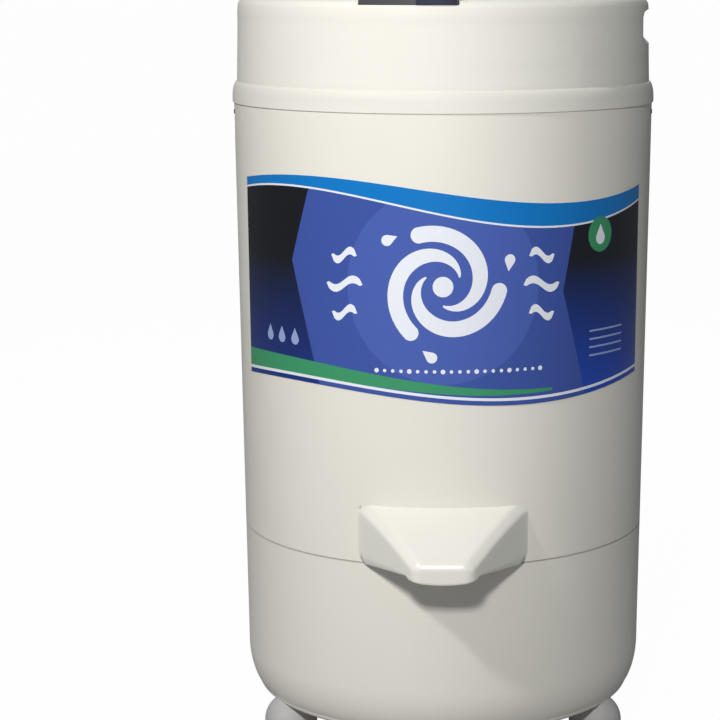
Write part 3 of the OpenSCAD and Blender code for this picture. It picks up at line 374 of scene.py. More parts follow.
# %% Rail and section of the spout
SPOUT_Z = 187.5
SPOUT_H = 52.0
SPOUT_HALF = 71.5
SPOUT_FRONT = 236.5
SPOUT_WALL = 2.6
NOSE_H = 17.0
NOSE_R = 12.0
NOSE_HALF = 29.5
LIP_FOOT = 0.1
LIP_CURVE = 3.6
CHEEK_FOOT = 0.6
CHEEK_RISE = 5.4
CORNER_RISE = 9.0
CORNER_SHARE = 1 / 7
STEP_RUN = 1.2
FOOT_ROUND = 0.6
BORDER_W = 2.4
BORDER_EXTRA = 3.0
CHEEK_NORMAL_X = 0.83
SHOULDER_DROP = 2.6
CHEEK_STOPS = [k / 30 for k in range(27)] + [0.90, 0.925, 0.94, 0.955, 0.97]
NOSE_STEPS = 12
FRONT_STEPS = 8
SIDE_STEPS = 6
RAMP_STEPS = 12


def half_rail():
    """Points of the plan outline from the casing to the middle of the nose, each with its outward normal."""
    foot = (SPOUT_HALF, -sqrt((casing_radius(SPOUT_Z * MM) / MM) ** 2 - SPOUT_HALF ** 2))
    centre = (NOSE_HALF - NOSE_R, -(SPOUT_FRONT - NOSE_R))
    dx, dy = foot[0] - centre[0], foot[1] - centre[1]
    turn = math.atan2(dy, dx) - math.acos(NOSE_R / sqrt(dx * dx + dy * dy))
    normal = (cos(turn), sin(turn))
    end = (centre[0] + NOSE_R * normal[0], centre[1] + NOSE_R * normal[1])
    rail = []
    for t in CHEEK_STOPS:
        rail.append((foot[0] + (end[0] - foot[0]) * t, foot[1] + (end[1] - foot[1]) * t, *normal))
    for k in range(NOSE_STEPS + 1):
        a = turn + (-pi / 2 - turn) * k / NOSE_STEPS
        rail.append((centre[0] + NOSE_R * cos(a), centre[1] + NOSE_R * sin(a), cos(a), sin(a)))
    for k in range(1, FRONT_STEPS + 1):
        rail.append((centre[0] * (1 - k / FRONT_STEPS), -SPOUT_FRONT, 0.0, -1.0))
    return rail


def ramp_z(x, y):
    """Height of the ramp: level along the casing, and falling straight to the nose."""
    wall_y = -sqrt(max(0.0, (casing_radius(SPOUT_Z * MM) / MM) ** 2 - x * x))
    share = min(1.0, max(0.0, (y + SPOUT_FRONT) / (wall_y + SPOUT_FRONT)))
    return SPOUT_Z + NOSE_H + (SPOUT_H - NOSE_H) * share


def lower_edge(x):
    """Height of the edge: rounded up at the casing, rising along the cheek, then the lower, curved lip."""
    lip = LIP_FOOT + LIP_CURVE * (x / NOSE_HALF) ** 2
    step = min(1.0, max(0.0, (abs(x) - NOSE_HALF + 0.2) / STEP_RUN))
    along = (SPOUT_HALF - abs(x)) / (SPOUT_HALF - NOSE_HALF)
    cheek = CHEEK_FOOT + CHEEK_RISE * along + CORNER_RISE * max(0.0, 1 - along / CORNER_SHARE) ** 2
    return SPOUT_Z + lip + (cheek - lip) * step


def spout_section(x, y, nx, ny, inset):
    """One section of the shell's outer skin, or of its inner skin when inset is the wall."""
    x, y = x - nx * inset, y - ny * inset
    border = BORDER_W + BORDER_EXTRA * abs(nx) / CHEEK_NORMAL_X - inset / 2
    foot = lower_edge(x)
    side = foot + FOOT_ROUND
    shoulder = ramp_z(x, y) - inset - border - SHOULDER_DROP
    points = [(x, y, foot)]
    if inset == 0:
        points = [(x - nx * FOOT_ROUND, y - ny * FOOT_ROUND, foot), (x, y, side)]
    points += [(x, y, side + (shoulder - side) * k / SIDE_STEPS) for k in range(1, SIDE_STEPS + 1)]
    rolled_edge = ((0.12, border + 1.2), (0.45, border + 0.2), (1.0, border - 0.7), (1.7, border - 1.5),
                   (border - 1.0, 1.3), (border - 0.2, 0.75), (border + 0.8, 0.3), (border + 2.4, 0.0))
    for inward, below in rolled_edge:
        px, py = x - nx * inward, y - ny * inward
        points.append((px, py, ramp_z(px, py) - inset - below))
    px, py = points[-1][:2]
    wall_y = -sqrt(max(0.0, (casing_radius(ramp_z(px, py) * MM) / MM) ** 2 - px * px))
    for k in range(1, RAMP_STEPS + 1):
        back = py + (max(py, wall_y) - py) * k / RAMP_STEPS
        points.append((px, back, ramp_z(px, back) - inset))
    return [outside_casing(*point) for point in points]


# %% Loft the spout
def lofted_shell(name, skins):
    """Joins an outer and an inner grid of points into one closed shell."""
    mesh = bmesh.new()
    grids = []
    for sections in skins:
        grids.append([[mesh.verts.new((x * MM, y * MM + AXIS_Y, z * MM)) for x, y, z in row]
                      for row in sections])
    for grid in grids:
        for row, after in zip(grid, grid[1:]):
            for k in range(len(row) - 1):
                mesh.faces.new((row[k], row[k + 1], after[k + 1], after[k]))
    outer, inner = grids
    for edge in (0, -1):
        for k in range(len(outer) - 1):
            mesh.faces.new((outer[k][edge], outer[k + 1][edge], inner[k + 1][edge], inner[k][edge]))
        strip, lining = outer[edge], inner[edge]
        for k in range(len(lining) - 1):
            mesh.faces.new((strip[k + 1], strip[k + 2], lining[k + 1], lining[k]))
        mesh.faces.new((strip[0], strip[1], lining[0]))
    bmesh.ops.remove_doubles(mesh, verts=mesh.verts, dist=0.00002)
    bmesh.ops.dissolve_degenerate(mesh, dist=0.00001, edges=mesh.edges)
    bmesh.ops.recalc_face_normals(mesh, faces=mesh.faces)
    data = bpy.data.meshes.new(name)
    mesh.to_mesh(data)
    mesh.free()
    data.shade_smooth()
    data.set_sharp_from_angle(angle=radians(50))
    piece = bpy.data.objects.new(name, data)
    bpy.context.collection.objects.link(piece)
    return piece


right_rail = half_rail()
rail = right_rail + [(-x, y, -nx, ny) for x, y, nx, ny in reversed(right_rail[:-1])]
spout_skins = [[spout_section(*stop, inset) for stop in rail] for inset in (0, SPOUT_WALL)]
drain_spout = lofted_shell("drain_spout", spout_skins)
drain_spout.data.materials.append(spout_plastic)
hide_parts("spout")
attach(drain_spout, "root")
print("spout:", len(drain_spout.data.polygons), "faces, stops on the rail:", len(rail))

# %% [markdown]
# ## What repeats
# Identical cross-head screws sit under the collar and in the feet, and the drum is a sheet with rows of
# punched holes whose edges are rolled smooth so that they don't catch the laundry. Both are Geometry Nodes
# trees with named sizes. The screws sit on loose points that carry their direction, and a seeded turn gives
# every head its own angle, as a fitter leaves it. The holes follow a rule of rows and columns round the drum.

# %% Tree helpers
class Tree:
    """A Geometry Nodes tree with named inputs, which turns into a plain mesh at the end."""

    def __init__(self, name, **sizes):
        self.group = bpy.data.node_groups.new(name, "GeometryNodeTree")
        face = self.group.interface
        face.new_socket("Geometry", in_out="OUTPUT", socket_type="NodeSocketGeometry")
        face.new_socket("Geometry", in_out="INPUT", socket_type="NodeSocketGeometry")
        self.sizes = sizes
        self.ids = {}
        for key, value in sizes.items():
            kind = "NodeSocketInt" if isinstance(value, int) else "NodeSocketFloat"
            socket = face.new_socket(key.replace("_", " "), in_out="INPUT", socket_type=kind)
            self.ids[key] = socket.identifier
        self.source = self.group.nodes.new("NodeGroupInput")
        self.sink = self.group.nodes.new("NodeGroupOutput")

    def size(self, key):
        return self.source.outputs[key.replace("_", " ")]

    def add(self, kind, out=0, mode=None, **sockets):
        """Adds a node, feeds its sockets, by name or as i0, i1 and so on, and returns one output."""
        node = self.group.nodes.new(kind)
        for key, value in (mode or {}).items():
            setattr(node, key, value)
        for key, value in sockets.items():
            numbered = key[0] == "i" and key[1:].isdigit()
            socket = node.inputs[int(key[1:]) if numbered else key.replace("_", " ")]
            if isinstance(value, bpy.types.NodeSocket):
                self.group.links.new(value, socket)
            else:
                socket.default_value = value
        return node.outputs[out]

    def math(self, operation, a, b=0.0):
        return self.add("ShaderNodeMath", mode={"operation": operation}, i0=a, i1=b)

    def vector(self, x=0.0, y=0.0, z=0.0):
        return self.add("ShaderNodeCombineXYZ", X=x, Y=y, Z=z)

    def moved(self, geometry, shift):
        return self.add("GeometryNodeTransform", Geometry=geometry, Translation=shift)

    def joined(self, *parts):
        join = self.group.nodes.new("GeometryNodeJoinGeometry")
        for part in parts:
            self.group.links.new(part, join.inputs[0])
        return join.outputs[0]

    def instanced(self, points, instance, outward, twist):
        """Stands the instance on every point with its Z axis along outward, turned about it by twist."""
        lean = self.add("FunctionNodeAlignRotationToVector", mode={"axis": "Z"}, Vector=outward)
        turn = self.add("FunctionNodeAxisAngleToRotation", Axis=(0, 0, 1), Angle=twist)
        turned = self.add("FunctionNodeRotateRotation", mode={"rotation_space": "LOCAL"},
                          Rotation=lean, Rotate_By=turn)
        return self.add("GeometryNodeInstanceOnPoints", Points=points, Instance=instance, Rotation=turned)

    def finish(self, geometry, material):
        realized = self.add("GeometryNodeRealizeInstances", Geometry=geometry)
        painted = self.add("GeometryNodeSetMaterial", Geometry=realized, Material=material)
        self.group.links.new(painted, self.sink.inputs[0])

    def baked(self, name, points=(), outward=(), **sizes):
        """Runs the tree on loose points and keeps the result as a plain mesh."""
        mesh = bpy.data.meshes.new(name)
        mesh.from_pydata(points, [], [])
        if points:
            direction = mesh.attributes.new("outward", "FLOAT_VECTOR", "POINT")
            direction.data.foreach_set("vector", [c for vector in outward for c in vector])
        piece = bpy.data.objects.new(name, mesh)
        modifier = piece.modifiers.new(name, "NODES")
        modifier.node_group = self.group
        for key, value in {**self.sizes, **sizes}.items():
            modifier[self.ids[key]] = value
        bpy.context.collection.objects.link(piece)
        graph = bpy.context.evaluated_depsgraph_get()
        piece.data = bpy.data.meshes.new_from_object(piece.evaluated_get(graph))
        piece.modifiers.clear()
        print(name, len(piece.data.polygons), "faces")
        return piece


def round_the_axis(azimuth_deg, r, z):
    """A point in millimetres at an azimuth from the front, as a place in the frame."""
    a = radians(azimuth_deg)
    return (r * MM * sin(a), AXIS_Y - r * MM * cos(a), z * MM)


# %% Screws
HEAD_TAPER = 0.97
SHOULDER_SHARE = 0.6
CROWN_TAPER = 0.72
SLOT_REACH = 1.15


def screw_tree(material):
    """Cross-head screws: a head of shoulder and crown with two crossed slots, and a plain shank."""
    tree = Tree("cross_head_screws", Head_Radius=0.0038, Head_Height=0.0014, Slot_Width=0.0009,
                Slot_Depth=0.0008, Shank_Radius=0.0018, Shank_Length=0.012, Seed=7)
    head_r, head_h = tree.size("Head_Radius"), tree.size("Head_Height")
    waist_r = tree.math("MULTIPLY", head_r, HEAD_TAPER)
    shoulder_h = tree.math("MULTIPLY", head_h, SHOULDER_SHARE)
    shoulder = tree.add("GeometryNodeMeshCone", Vertices=40, Radius_Top=waist_r, Radius_Bottom=head_r,
                        Depth=shoulder_h)
    crown_r = tree.math("MULTIPLY", head_r, CROWN_TAPER)
    crown = tree.add("GeometryNodeMeshCone", Vertices=40, Radius_Top=crown_r, Radius_Bottom=waist_r,
                     Depth=tree.math("SUBTRACT", head_h, shoulder_h))
    crown = tree.moved(crown, tree.vector(z=shoulder_h))
    head = tree.add("GeometryNodeMergeByDistance", Geometry=tree.joined(shoulder, crown), Distance=0.000001)
    arm = tree.math("MULTIPLY", head_r, SLOT_REACH)
    deep = tree.math("MULTIPLY", tree.size("Slot_Depth"), 2.0)
    long_cut = tree.add("GeometryNodeMeshCube", Size=tree.vector(arm, tree.size("Slot_Width"), deep))
    cross_cut = tree.add("GeometryNodeMeshCube", Size=tree.vector(tree.size("Slot_Width"), arm, deep))
    lift = tree.vector(z=head_h)
    slotted = tree.add("GeometryNodeMeshBoolean", mode={"operation": "DIFFERENCE"}, Mesh_1=head,
                       Mesh_2=tree.joined(tree.moved(long_cut, lift), tree.moved(cross_cut, lift)))
    length = tree.size("Shank_Length")
    shank = tree.add("GeometryNodeMeshCylinder", Vertices=24, Radius=tree.size("Shank_Radius"), Depth=length)
    shank = tree.moved(shank, tree.vector(z=tree.math("MULTIPLY", length, -0.5)))
    outward = tree.add("GeometryNodeInputNamedAttribute", mode={"data_type": "FLOAT_VECTOR"}, Name="outward")
    twist = tree.add("FunctionNodeRandomValue", out=1, mode={"data_type": "FLOAT"}, i2=0.0, i3=pi / 2,
                     Seed=tree.size("Seed"))
    points = tree.add("GeometryNodeMeshToPoints", Mesh=tree.source.outputs["Geometry"])
    tree.finish(tree.instanced(points, tree.joined(slotted, shank), outward, twist), material)
    return tree


CASING_SCREW_AZ = (-80, 80, -150, 150)
CASING_SCREW_R = 183.9
CASING_SCREW_Z = 560
PROUD_HEAD_H = 0.0024
casing_screws = screw_tree(dark_screw).baked(
    "casing_screws", [round_the_axis(a, CASING_SCREW_R, CASING_SCREW_Z) for a in CASING_SCREW_AZ],
    [(sin(radians(a)), -cos(radians(a)), 0) for a in CASING_SCREW_AZ], Head_Height=PROUD_HEAD_H)
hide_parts("collar_screws")
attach(casing_screws, "root")

FOOT_AZ = (-60, 60, 180)
FOOT_CIRCLE_R = 158
FOOT_SEAT_Z = 12
foot_top = max(v.co.z for v in frame["nodes"]["foot_screws"].data.vertices)
foot_fixings = screw_tree(bolt_zinc).baked(
    "foot_fixings", [round_the_axis(a, FOOT_CIRCLE_R, FOOT_SEAT_Z) for a in FOOT_AZ],
    [(0, 0, -1) for _ in FOOT_AZ],
    Head_Radius=0.0055, Head_Height=0.0032, Slot_Width=0.0012, Slot_Depth=0.0016, Shank_Radius=0.0022,
    Shank_Length=foot_top - FOOT_SEAT_Z * MM, Seed=11)
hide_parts("foot_screws")
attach(foot_fixings, "root")

# %% Rolled edges of the drum's holes
HOLE_ROWS = 10
ROWS_SPAN = 0.304


def hole_tree(material):
    """A rolled rim for each hole, in staggered rows round the drum's wall."""
    tree = Tree("drum_hole_rims", Rows=HOLE_ROWS, Holes_per_Row=20, Wall_Radius=0.1273, First_Row=0.252,
                Row_Pitch=ROWS_SPAN / (HOLE_ROWS - 1), Hole_Radius=0.0038, Roll_Radius=0.0006, Axis_Y=AXIS_Y)
    per_row = tree.size("Holes_per_Row")
    number = tree.add("GeometryNodeInputIndex")
    row = tree.math("FLOOR", tree.math("DIVIDE", tree.math("ADD", number, 0.5), per_row))
    column = tree.math("SUBTRACT", number, tree.math("MULTIPLY", row, per_row))
    stagger = tree.math("MULTIPLY", tree.math("MODULO", row, 2.0), 0.5)
    azimuth = tree.math("MULTIPLY", tree.math("DIVIDE", tree.math("ADD", column, stagger), per_row), 2 * pi)
    east, north = tree.math("SINE", azimuth), tree.math("MULTIPLY", tree.math("COSINE", azimuth), -1.0)
    wall_r = tree.size("Wall_Radius")
    place_x = tree.math("MULTIPLY", east, wall_r)
    place_y = tree.math("ADD", tree.math("MULTIPLY", north, wall_r), tree.size("Axis_Y"))
    place_z = tree.math("ADD", tree.size("First_Row"), tree.math("MULTIPLY", row, tree.size("Row_Pitch")))
    points = tree.add("GeometryNodePoints", Count=tree.math("MULTIPLY", tree.size("Rows"), per_row),
                      Position=tree.vector(place_x, place_y, place_z))
    ring = tree.add("GeometryNodeCurvePrimitiveCircle", Resolution=20, Radius=tree.size("Hole_Radius"))
    section = tree.add("GeometryNodeCurvePrimitiveCircle", Resolution=7, Radius=tree.size("Roll_Radius"))
    rim = tree.add("GeometryNodeCurveToMesh", Curve=ring, Profile_Curve=section)
    rim = tree.add("GeometryNodeSetShadeSmooth", Geometry=rim, Shade_Smooth=True)
    tree.finish(tree.instanced(points, rim, tree.vector(east, north, 0.0), 0.0), material)
    return tree


hole_rims = hole_tree(drum_steel).baked("hole_rims")
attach(hole_rims, "drum_body")

# %% [markdown]
# ## Collar with its finger recess
# The collar is moulded with a recess on the right, where a hand takes hold of the machine. In the photo it
# shows only as a notch in the outline: it starts in front of the machine's widest point, its floor lies
# between 5 and 6 mm deep, and it slopes out above and below, as a pocket must that is to leave its mould. The
# CAD collar is kept and its square pocket is remade by two Boolean steps: a backing fills it, then the sloped
# pocket is cut. Level cuts round the wall afterwards keep its long triangles from bending the light.

# %% Sweeping and joining solids
MERGE_DISTANCE = 0.000002


def swept_solid(name, azimuths, outline):
    """A solid with one closed outline of (radius, height) points in millimetres at every azimuth."""
    sections = [outline(azimuth) for azimuth in azimuths]
    count = len(sections[0])
    last = count * (len(azimuths) - 1)
    vertices = [round_the_axis(azimuth, r, z)
                for azimuth, section in zip(azimuths, sections) for r, z in section]
    faces = []
    for start in range(0, last, count):
        for i in range(count):
            j = (i + 1) % count
            faces.append((start + i, start + j, start + count + j, start + count + i))
    faces += [tuple(reversed(range(count))), tuple(range(last, last + count))]
    mesh = bpy.data.meshes.new(name)
    mesh.from_pydata(vertices, [], faces)
    solid = bmesh.new()
    solid.from_mesh(mesh)
    bmesh.ops.recalc_face_normals(solid, faces=solid.faces)
    solid.to_mesh(mesh)
    solid.free()
    return bpy.data.objects.new(name, mesh)


def combined(piece, other, operation):
    """Bakes one Boolean step into the piece and removes the other solid."""
    bpy.context.collection.objects.link(other)
    step = piece.modifiers.new(operation, "BOOLEAN")
    step.operation = operation
    step.solver = "EXACT"
    step.object = other
    graph = bpy.context.evaluated_depsgraph_get()
    piece.data = bpy.data.meshes.new_from_object(piece.evaluated_get(graph))
    piece.modifiers.clear()
    bpy.data.objects.remove(other)


def tidied(mesh, cut_heights=()):
    """Merges points that lie in one place, and cuts the mesh level at each height in millimetres."""
    shape = bmesh.new()
    shape.from_mesh(mesh)
    bmesh.ops.remove_doubles(shape, verts=shape.verts, dist=MERGE_DISTANCE)
    if cut_heights:
        bmesh.ops.triangulate(shape, faces=shape.faces)
    for z in cut_heights:
        everything = shape.verts[:] + shape.edges[:] + shape.faces[:]
        bmesh.ops.bisect_plane(shape, geom=everything, dist=0.000001, plane_co=(0, 0, z * MM),
                               plane_no=(0, 0, 1))
    shape.to_mesh(mesh)
    shape.free()


# %% Remake the recess
RECESS_AZ = (71.5, 108.5)
RECESS_Z = (619.5, 648.5)
RECESS_RIM_R = 181.5
RECESS_FLOOR_R = 175.8
RECESS_BACK_R = 173.3
RECESS_ROUND_DEG = 5
RECESS_RUNOUT_DEG = 3
RECESS_END_HALF = 0.25
RECESS_SLOPE_BELOW = 9
RECESS_SLOPE_ABOVE = 7
RECESS_SLOPE_STEPS = 8
RECESS_SKIM = 0.3
BACKING_FACE_R = 180.9
BACKING_TOP_R = 178.5
BACKING_MARGIN_DEG = 2
BACKING_STEPS = 28
END_STEPS = 20
MIDDLE_STEPS = 18
LEVEL_CUTS_Z = range(604, 652, 3)


def backing_outline(_):
    """The same section at every azimuth, just inside the collar's wall, with its top corner cut off."""
    low, high = RECESS_Z
    return [(RECESS_BACK_R, low - 5), (BACKING_FACE_R, low - 5), (BACKING_FACE_R, high + 1.5),
            (BACKING_TOP_R, high + 3), (RECESS_BACK_R, high + 3)]


def pocket_outline(azimuth):
    """Sloped above and below, with both ends rounded in height and running out in depth."""
    from_end = min(azimuth - RECESS_AZ[0], RECESS_AZ[1] - azimuth)
    reach, fall = min(1.0, from_end / RECESS_ROUND_DEG), min(1.0, from_end / RECESS_RUNOUT_DEG)
    fall = fall * fall * (3 - 2 * fall)
    rounding = RECESS_END_HALF + (1 - RECESS_END_HALF) * sqrt(1 - (1 - reach) ** 2)
    middle = sum(RECESS_Z) / 2
    half = (RECESS_Z[1] - middle) * rounding
    depth = (RECESS_RIM_R - RECESS_FLOOR_R + RECESS_SKIM) * fall - RECESS_SKIM
    lower = [(RECESS_RIM_R + 4, middle - half - 3)]
    upper = [(RECESS_RIM_R + 4, middle + half + 3)]
    for k in range(RECESS_SLOPE_STEPS + 1):
        share = k / RECESS_SLOPE_STEPS
        r = RECESS_RIM_R - depth * (1 - (1 - share) ** 2)
        lower.append((r, middle - half + (RECESS_SLOPE_BELOW * fall + RECESS_SKIM) * share))
        upper.append((r, middle + half - (RECESS_SLOPE_ABOVE * fall + RECESS_SKIM) * share))
    return lower + upper[::-1]


def backing_azimuths():
    """Evenly spaced, and past both ends of the recess."""
    first, last = RECESS_AZ[0] - BACKING_MARGIN_DEG, RECESS_AZ[1] + BACKING_MARGIN_DEG
    return [first + (last - first) * k / BACKING_STEPS for k in range(BACKING_STEPS + 1)]


def pocket_azimuths():
    """Close together where the ends are rounded, and wider between them."""
    first, last = RECESS_AZ
    end = [RECESS_ROUND_DEG * k / END_STEPS for k in range(END_STEPS)]
    straight = last - first - 2 * RECESS_ROUND_DEG
    middle = [first + RECESS_ROUND_DEG + straight * k / MIDDLE_STEPS for k in range(MIDDLE_STEPS + 1)]
    return [first + a for a in end] + middle + [last - a for a in reversed(end)]


collar_data = frame["nodes"]["top_collar"].data.copy()
packed_normals = collar_data.attributes.get("custom_normal")
if packed_normals:
    collar_data.attributes.remove(packed_normals)
tidied(collar_data)
collar_moulding = bpy.data.objects.new("collar_moulding", collar_data)
bpy.context.collection.objects.link(collar_moulding)
combined(collar_moulding, swept_solid("recess_backing", backing_azimuths(), backing_outline), "UNION")
combined(collar_moulding, swept_solid("recess_pocket", pocket_azimuths(), pocket_outline), "DIFFERENCE")
tidied(collar_moulding.data, LEVEL_CUTS_Z)
collar_moulding.data.materials.clear()
collar_moulding.data.materials.append(collar_plastic)
collar_moulding.data.shade_smooth()
collar_moulding.data.set_sharp_from_angle(angle=radians(28))
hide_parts("top_collar")
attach(collar_moulding, "root")
print("collar:", len(collar_moulding.data.polygons), "faces")

# %% [markdown]
# ## Sticker
# The machine wears a printed sticker with a wavy upper and lower edge, laid round its front. Here it carries
# a plain picture of its own in the same family of colours: a spinning swirl that throws off drops, with air
# waves at both sides. The drawing is made flat, in millimetres along and up the casing. All outlines go into
# one triangulation, so colours meet edge to edge as ink does, with no layers that could flicker. Upright
# cuts every few millimetres let the sheet bend round the casing.

# %% Shapes for the flat drawing
def disc(cx, cy, r, n=48):
    return [(cx + r * cos(2 * pi * k / n), cy + r * sin(2 * pi * k / n)) for k in range(n)]


def drop(cx, cy, r, lean, n=20):
    """A drop with its tip at distance 2.1 r from its centre, towards the angle lean."""
    body = [(r * cos(a), r * sin(a)) for a in (radians(60) + radians(240) * k / n for k in range(n + 1))]
    points = [(x, y) for x, y in body] + [(2.1 * r, 0)]
    return [(cx + x * cos(lean) - y * sin(lean), cy + x * sin(lean) + y * cos(lean)) for x, y in points]


def swirl_arm(cx, cy, r0, r1, start, sweep, thick, n=40):
    """A spiral stroke that is thin at its start and round at its end."""
    def at(t, side):
        a = start + sweep * t
        width = thick * (0.12 + 0.88 * sin(pi / 2 * min(t * 1.6, 1.0)))
        r = r0 + (r1 - r0) * t + side * width / 2
        return (cx + r * cos(a), cy + r * sin(a))
    end = start + sweep
    mid_x, mid_y = cx + r1 * cos(end), cy + r1 * sin(end)
    turn = 1 if sweep > 0 else -1
    round_end = [end + turn * pi * k / 10 for k in range(1, 10)]
    cap = [(mid_x + thick / 2 * cos(a), mid_y + thick / 2 * sin(a)) for a in round_end]
    return [at(k / n, 1) for k in range(n + 1)] + cap + [at(k / n, -1) for k in range(n, -1, -1)]


def ribbon(s0, s1, upper, lower, step=3.0):
    """The area between two curves over a stretch of the sheet."""
    n = max(2, int(round((s1 - s0) / step)))
    along = [s0 + (s1 - s0) * k / n for k in range(n + 1)]
    return [(s, upper(s)) for s in along] + [(s, lower(s)) for s in reversed(along)]


def stroke(s0, s1, middle, thick):
    """A wavy line of constant weight with pointed ends."""
    def half(s):
        return thick / 2 * min(1.0, 4 * sin(pi * (s - s0) / (s1 - s0)) + 0.02)
    return ribbon(s0, s1, lambda s: middle(s) + half(s), lambda s: middle(s) - half(s), 2.5)


# %% Bands of the sticker
SHEET_HALF = 213.0
SHEET_Z0 = 0.3225
SHEET_H = 194.0
SWIRL_CENTRE = (0.0, 104.0)
GLOW_R = 82
PAPER_LINE = 1.6


def sheet_top(s):
    return 181 + 11 * cos(pi * (s + 118) / 236)


def sheet_foot(s):
    return 10 - 7 * cos(pi * (s - 70) / 210)


def sky_foot(s):
    return sheet_top(s) - 13 - 6 * sin(pi * (s + 60) / 260)


def leaf_top(s):
    return sheet_foot(s) + 17 - 0.032 * (s + 60)


def leaf_foot(s):
    return sheet_foot(s) + 9.5 + 0.0192 * (s - 96)


layers = [
    ("field", ribbon(-SHEET_HALF, SHEET_HALF, sheet_top, sheet_foot)),
    ("glow", disc(*SWIRL_CENTRE, GLOW_R, 96)),
    ("night", [(-SHEET_HALF, SHEET_H), (-116, SHEET_H), (-140, 120), (-106, 0), (-SHEET_HALF, 0)]),
    ("dusk", [(SHEET_HALF, SHEET_H), (126, SHEET_H), (106, 96), (133, 0), (SHEET_HALF, 0)]),
    ("sky", ribbon(-SHEET_HALF, SHEET_HALF, lambda s: sheet_top(s) + 4, sky_foot)),
    ("paper", ribbon(-SHEET_HALF, SHEET_HALF, sky_foot, lambda s: sky_foot(s) - PAPER_LINE)),
    ("leaf", ribbon(-SHEET_HALF, 96, leaf_top, leaf_foot)),
    ("paper", ribbon(-SHEET_HALF, SHEET_HALF, lambda s: sheet_foot(s) + 6.2, lambda s: sheet_foot(s) + 3.8)),
]
print("bands:", len(layers))

# %% Picture on the sticker
ARM_STARTS_DEG = (30, 150, 270)
ARM_R = (16, 47)
ARM_SWEEP_DEG = 205
ARM_THICK = 13.5
HUB_R = 8.5
DROP_ORBIT = 60
DROP_LAG_DEG = 26
DROP_R = 4.6
WAVE_ROWS = (128, 104, 80)
WAVE_REACH = (68, 102)
WAVE_SHORTER = 5
WAVE_HEIGHT = 4.2
WAVE_THICK = 6.4
DOTS = 21
DOT_PITCH = 7
GREEN_DISC = (148, 141, 15)
LINE_PITCH = 7


def wave(row, inner, outer):
    """The middle of one air wave: a whole swing between its inner and outer ends."""
    return lambda s: row + WAVE_HEIGHT * sin(2 * pi * (abs(s) - inner) / (outer - inner))


def level(height):
    return lambda s: height


for start_deg in ARM_STARTS_DEG:
    layers.append(("paper", swirl_arm(*SWIRL_CENTRE, *ARM_R, radians(start_deg), radians(ARM_SWEEP_DEG),
                                      ARM_THICK)))
layers.append(("paper", disc(*SWIRL_CENTRE, HUB_R)))
for start_deg in ARM_STARTS_DEG:
    throw = radians(start_deg + ARM_SWEEP_DEG + DROP_LAG_DEG)
    layers.append(("paper", drop(SWIRL_CENTRE[0] + DROP_ORBIT * cos(throw),
                                 SWIRL_CENTRE[1] + DROP_ORBIT * sin(throw), DROP_R, throw - pi / 2 - 0.5)))
for side in (-1, 1):
    for row in WAVE_ROWS:
        shorter = 0 if row == WAVE_ROWS[1] else WAVE_SHORTER
        inner, outer = WAVE_REACH[0] + shorter, WAVE_REACH[1] - shorter
        ends = sorted((side * inner, side * outer))
        layers.append(("paper", stroke(*ends, wave(row, inner, outer), WAVE_THICK)))
for k in range(DOTS):
    bigger = 0.5 if k % 4 == 0 else 0.0
    layers.append(("paper", disc(-56 + DOT_PITCH * k, 33, 1.5 + bigger, 12)))
layers.append(("leaf", disc(*GREEN_DISC)))
layers.append(("paper", drop(GREEN_DISC[0], GREEN_DISC[1] - 3, 5.6, pi / 2)))
for k in range(3):
    layers.append(("mist", drop(-172 + 17 * k, 52, 4.6, pi / 2)))
for k in range(4):
    layers.append(("mist", ribbon(136, 182, level(60 - LINE_PITCH * k), level(58.4 - LINE_PITCH * k), 46)))
print("drawing:", len(layers), "shapes")


# %% One sheet from the drawing
def inside(point, polygon):
    """Whether a point lies within a closed outline."""
    x, y = point
    hit = False
    for (x0, y0), (x1, y1) in zip(polygon, polygon[1:] + polygon[:1]):
        if (y0 > y) != (y1 > y) and x < x0 + (y - y0) * (x1 - x0) / (y1 - y0):
            hit = not hit
    return hit


def flat_triangles(shapes, half, height, cut):
    """Triangles of the whole drawing, each with the name of the topmost shape over it."""
    points, edges = [], []
    for _, polygon in shapes:
        first = len(points)
        points += [(min(max(x, -half), half), min(max(y, 0.0), height)) for x, y in polygon]
        edges += [(first + k, first + (k + 1) % len(polygon)) for k in range(len(polygon))]
    steps = int(2 * half / cut)
    for k in range(steps + 1):
        s = -half + 2 * half * k / steps
        edges.append((len(points), len(points) + 1))
        points += [(s, -1.0), (s, height + 1.0)]
    result = delaunay_2d_cdt([Vector(p) for p in points], edges, [], 0, 1e-4)
    flat, faces = result[0], result[2]
    boxes = [(min(x for x, _ in q), max(x for x, _ in q), min(y for _, y in q), max(y for _, y in q))
             for _, q in shapes]
    named = []
    for face in faces:
        cx = sum(flat[i][0] for i in face) / len(face)
        cy = sum(flat[i][1] for i in face) / len(face)
        if not inside((cx, cy), shapes[0][1]):
            continue
        for k in range(len(shapes) - 1, -1, -1):
            x0, x1, y0, y1 = boxes[k]
            if x0 <= cx <= x1 and y0 <= cy <= y1 and inside((cx, cy), shapes[k][1]):
                named.append((face, shapes[k][0]))
                break
    return [(p[0], p[1]) for p in flat], named


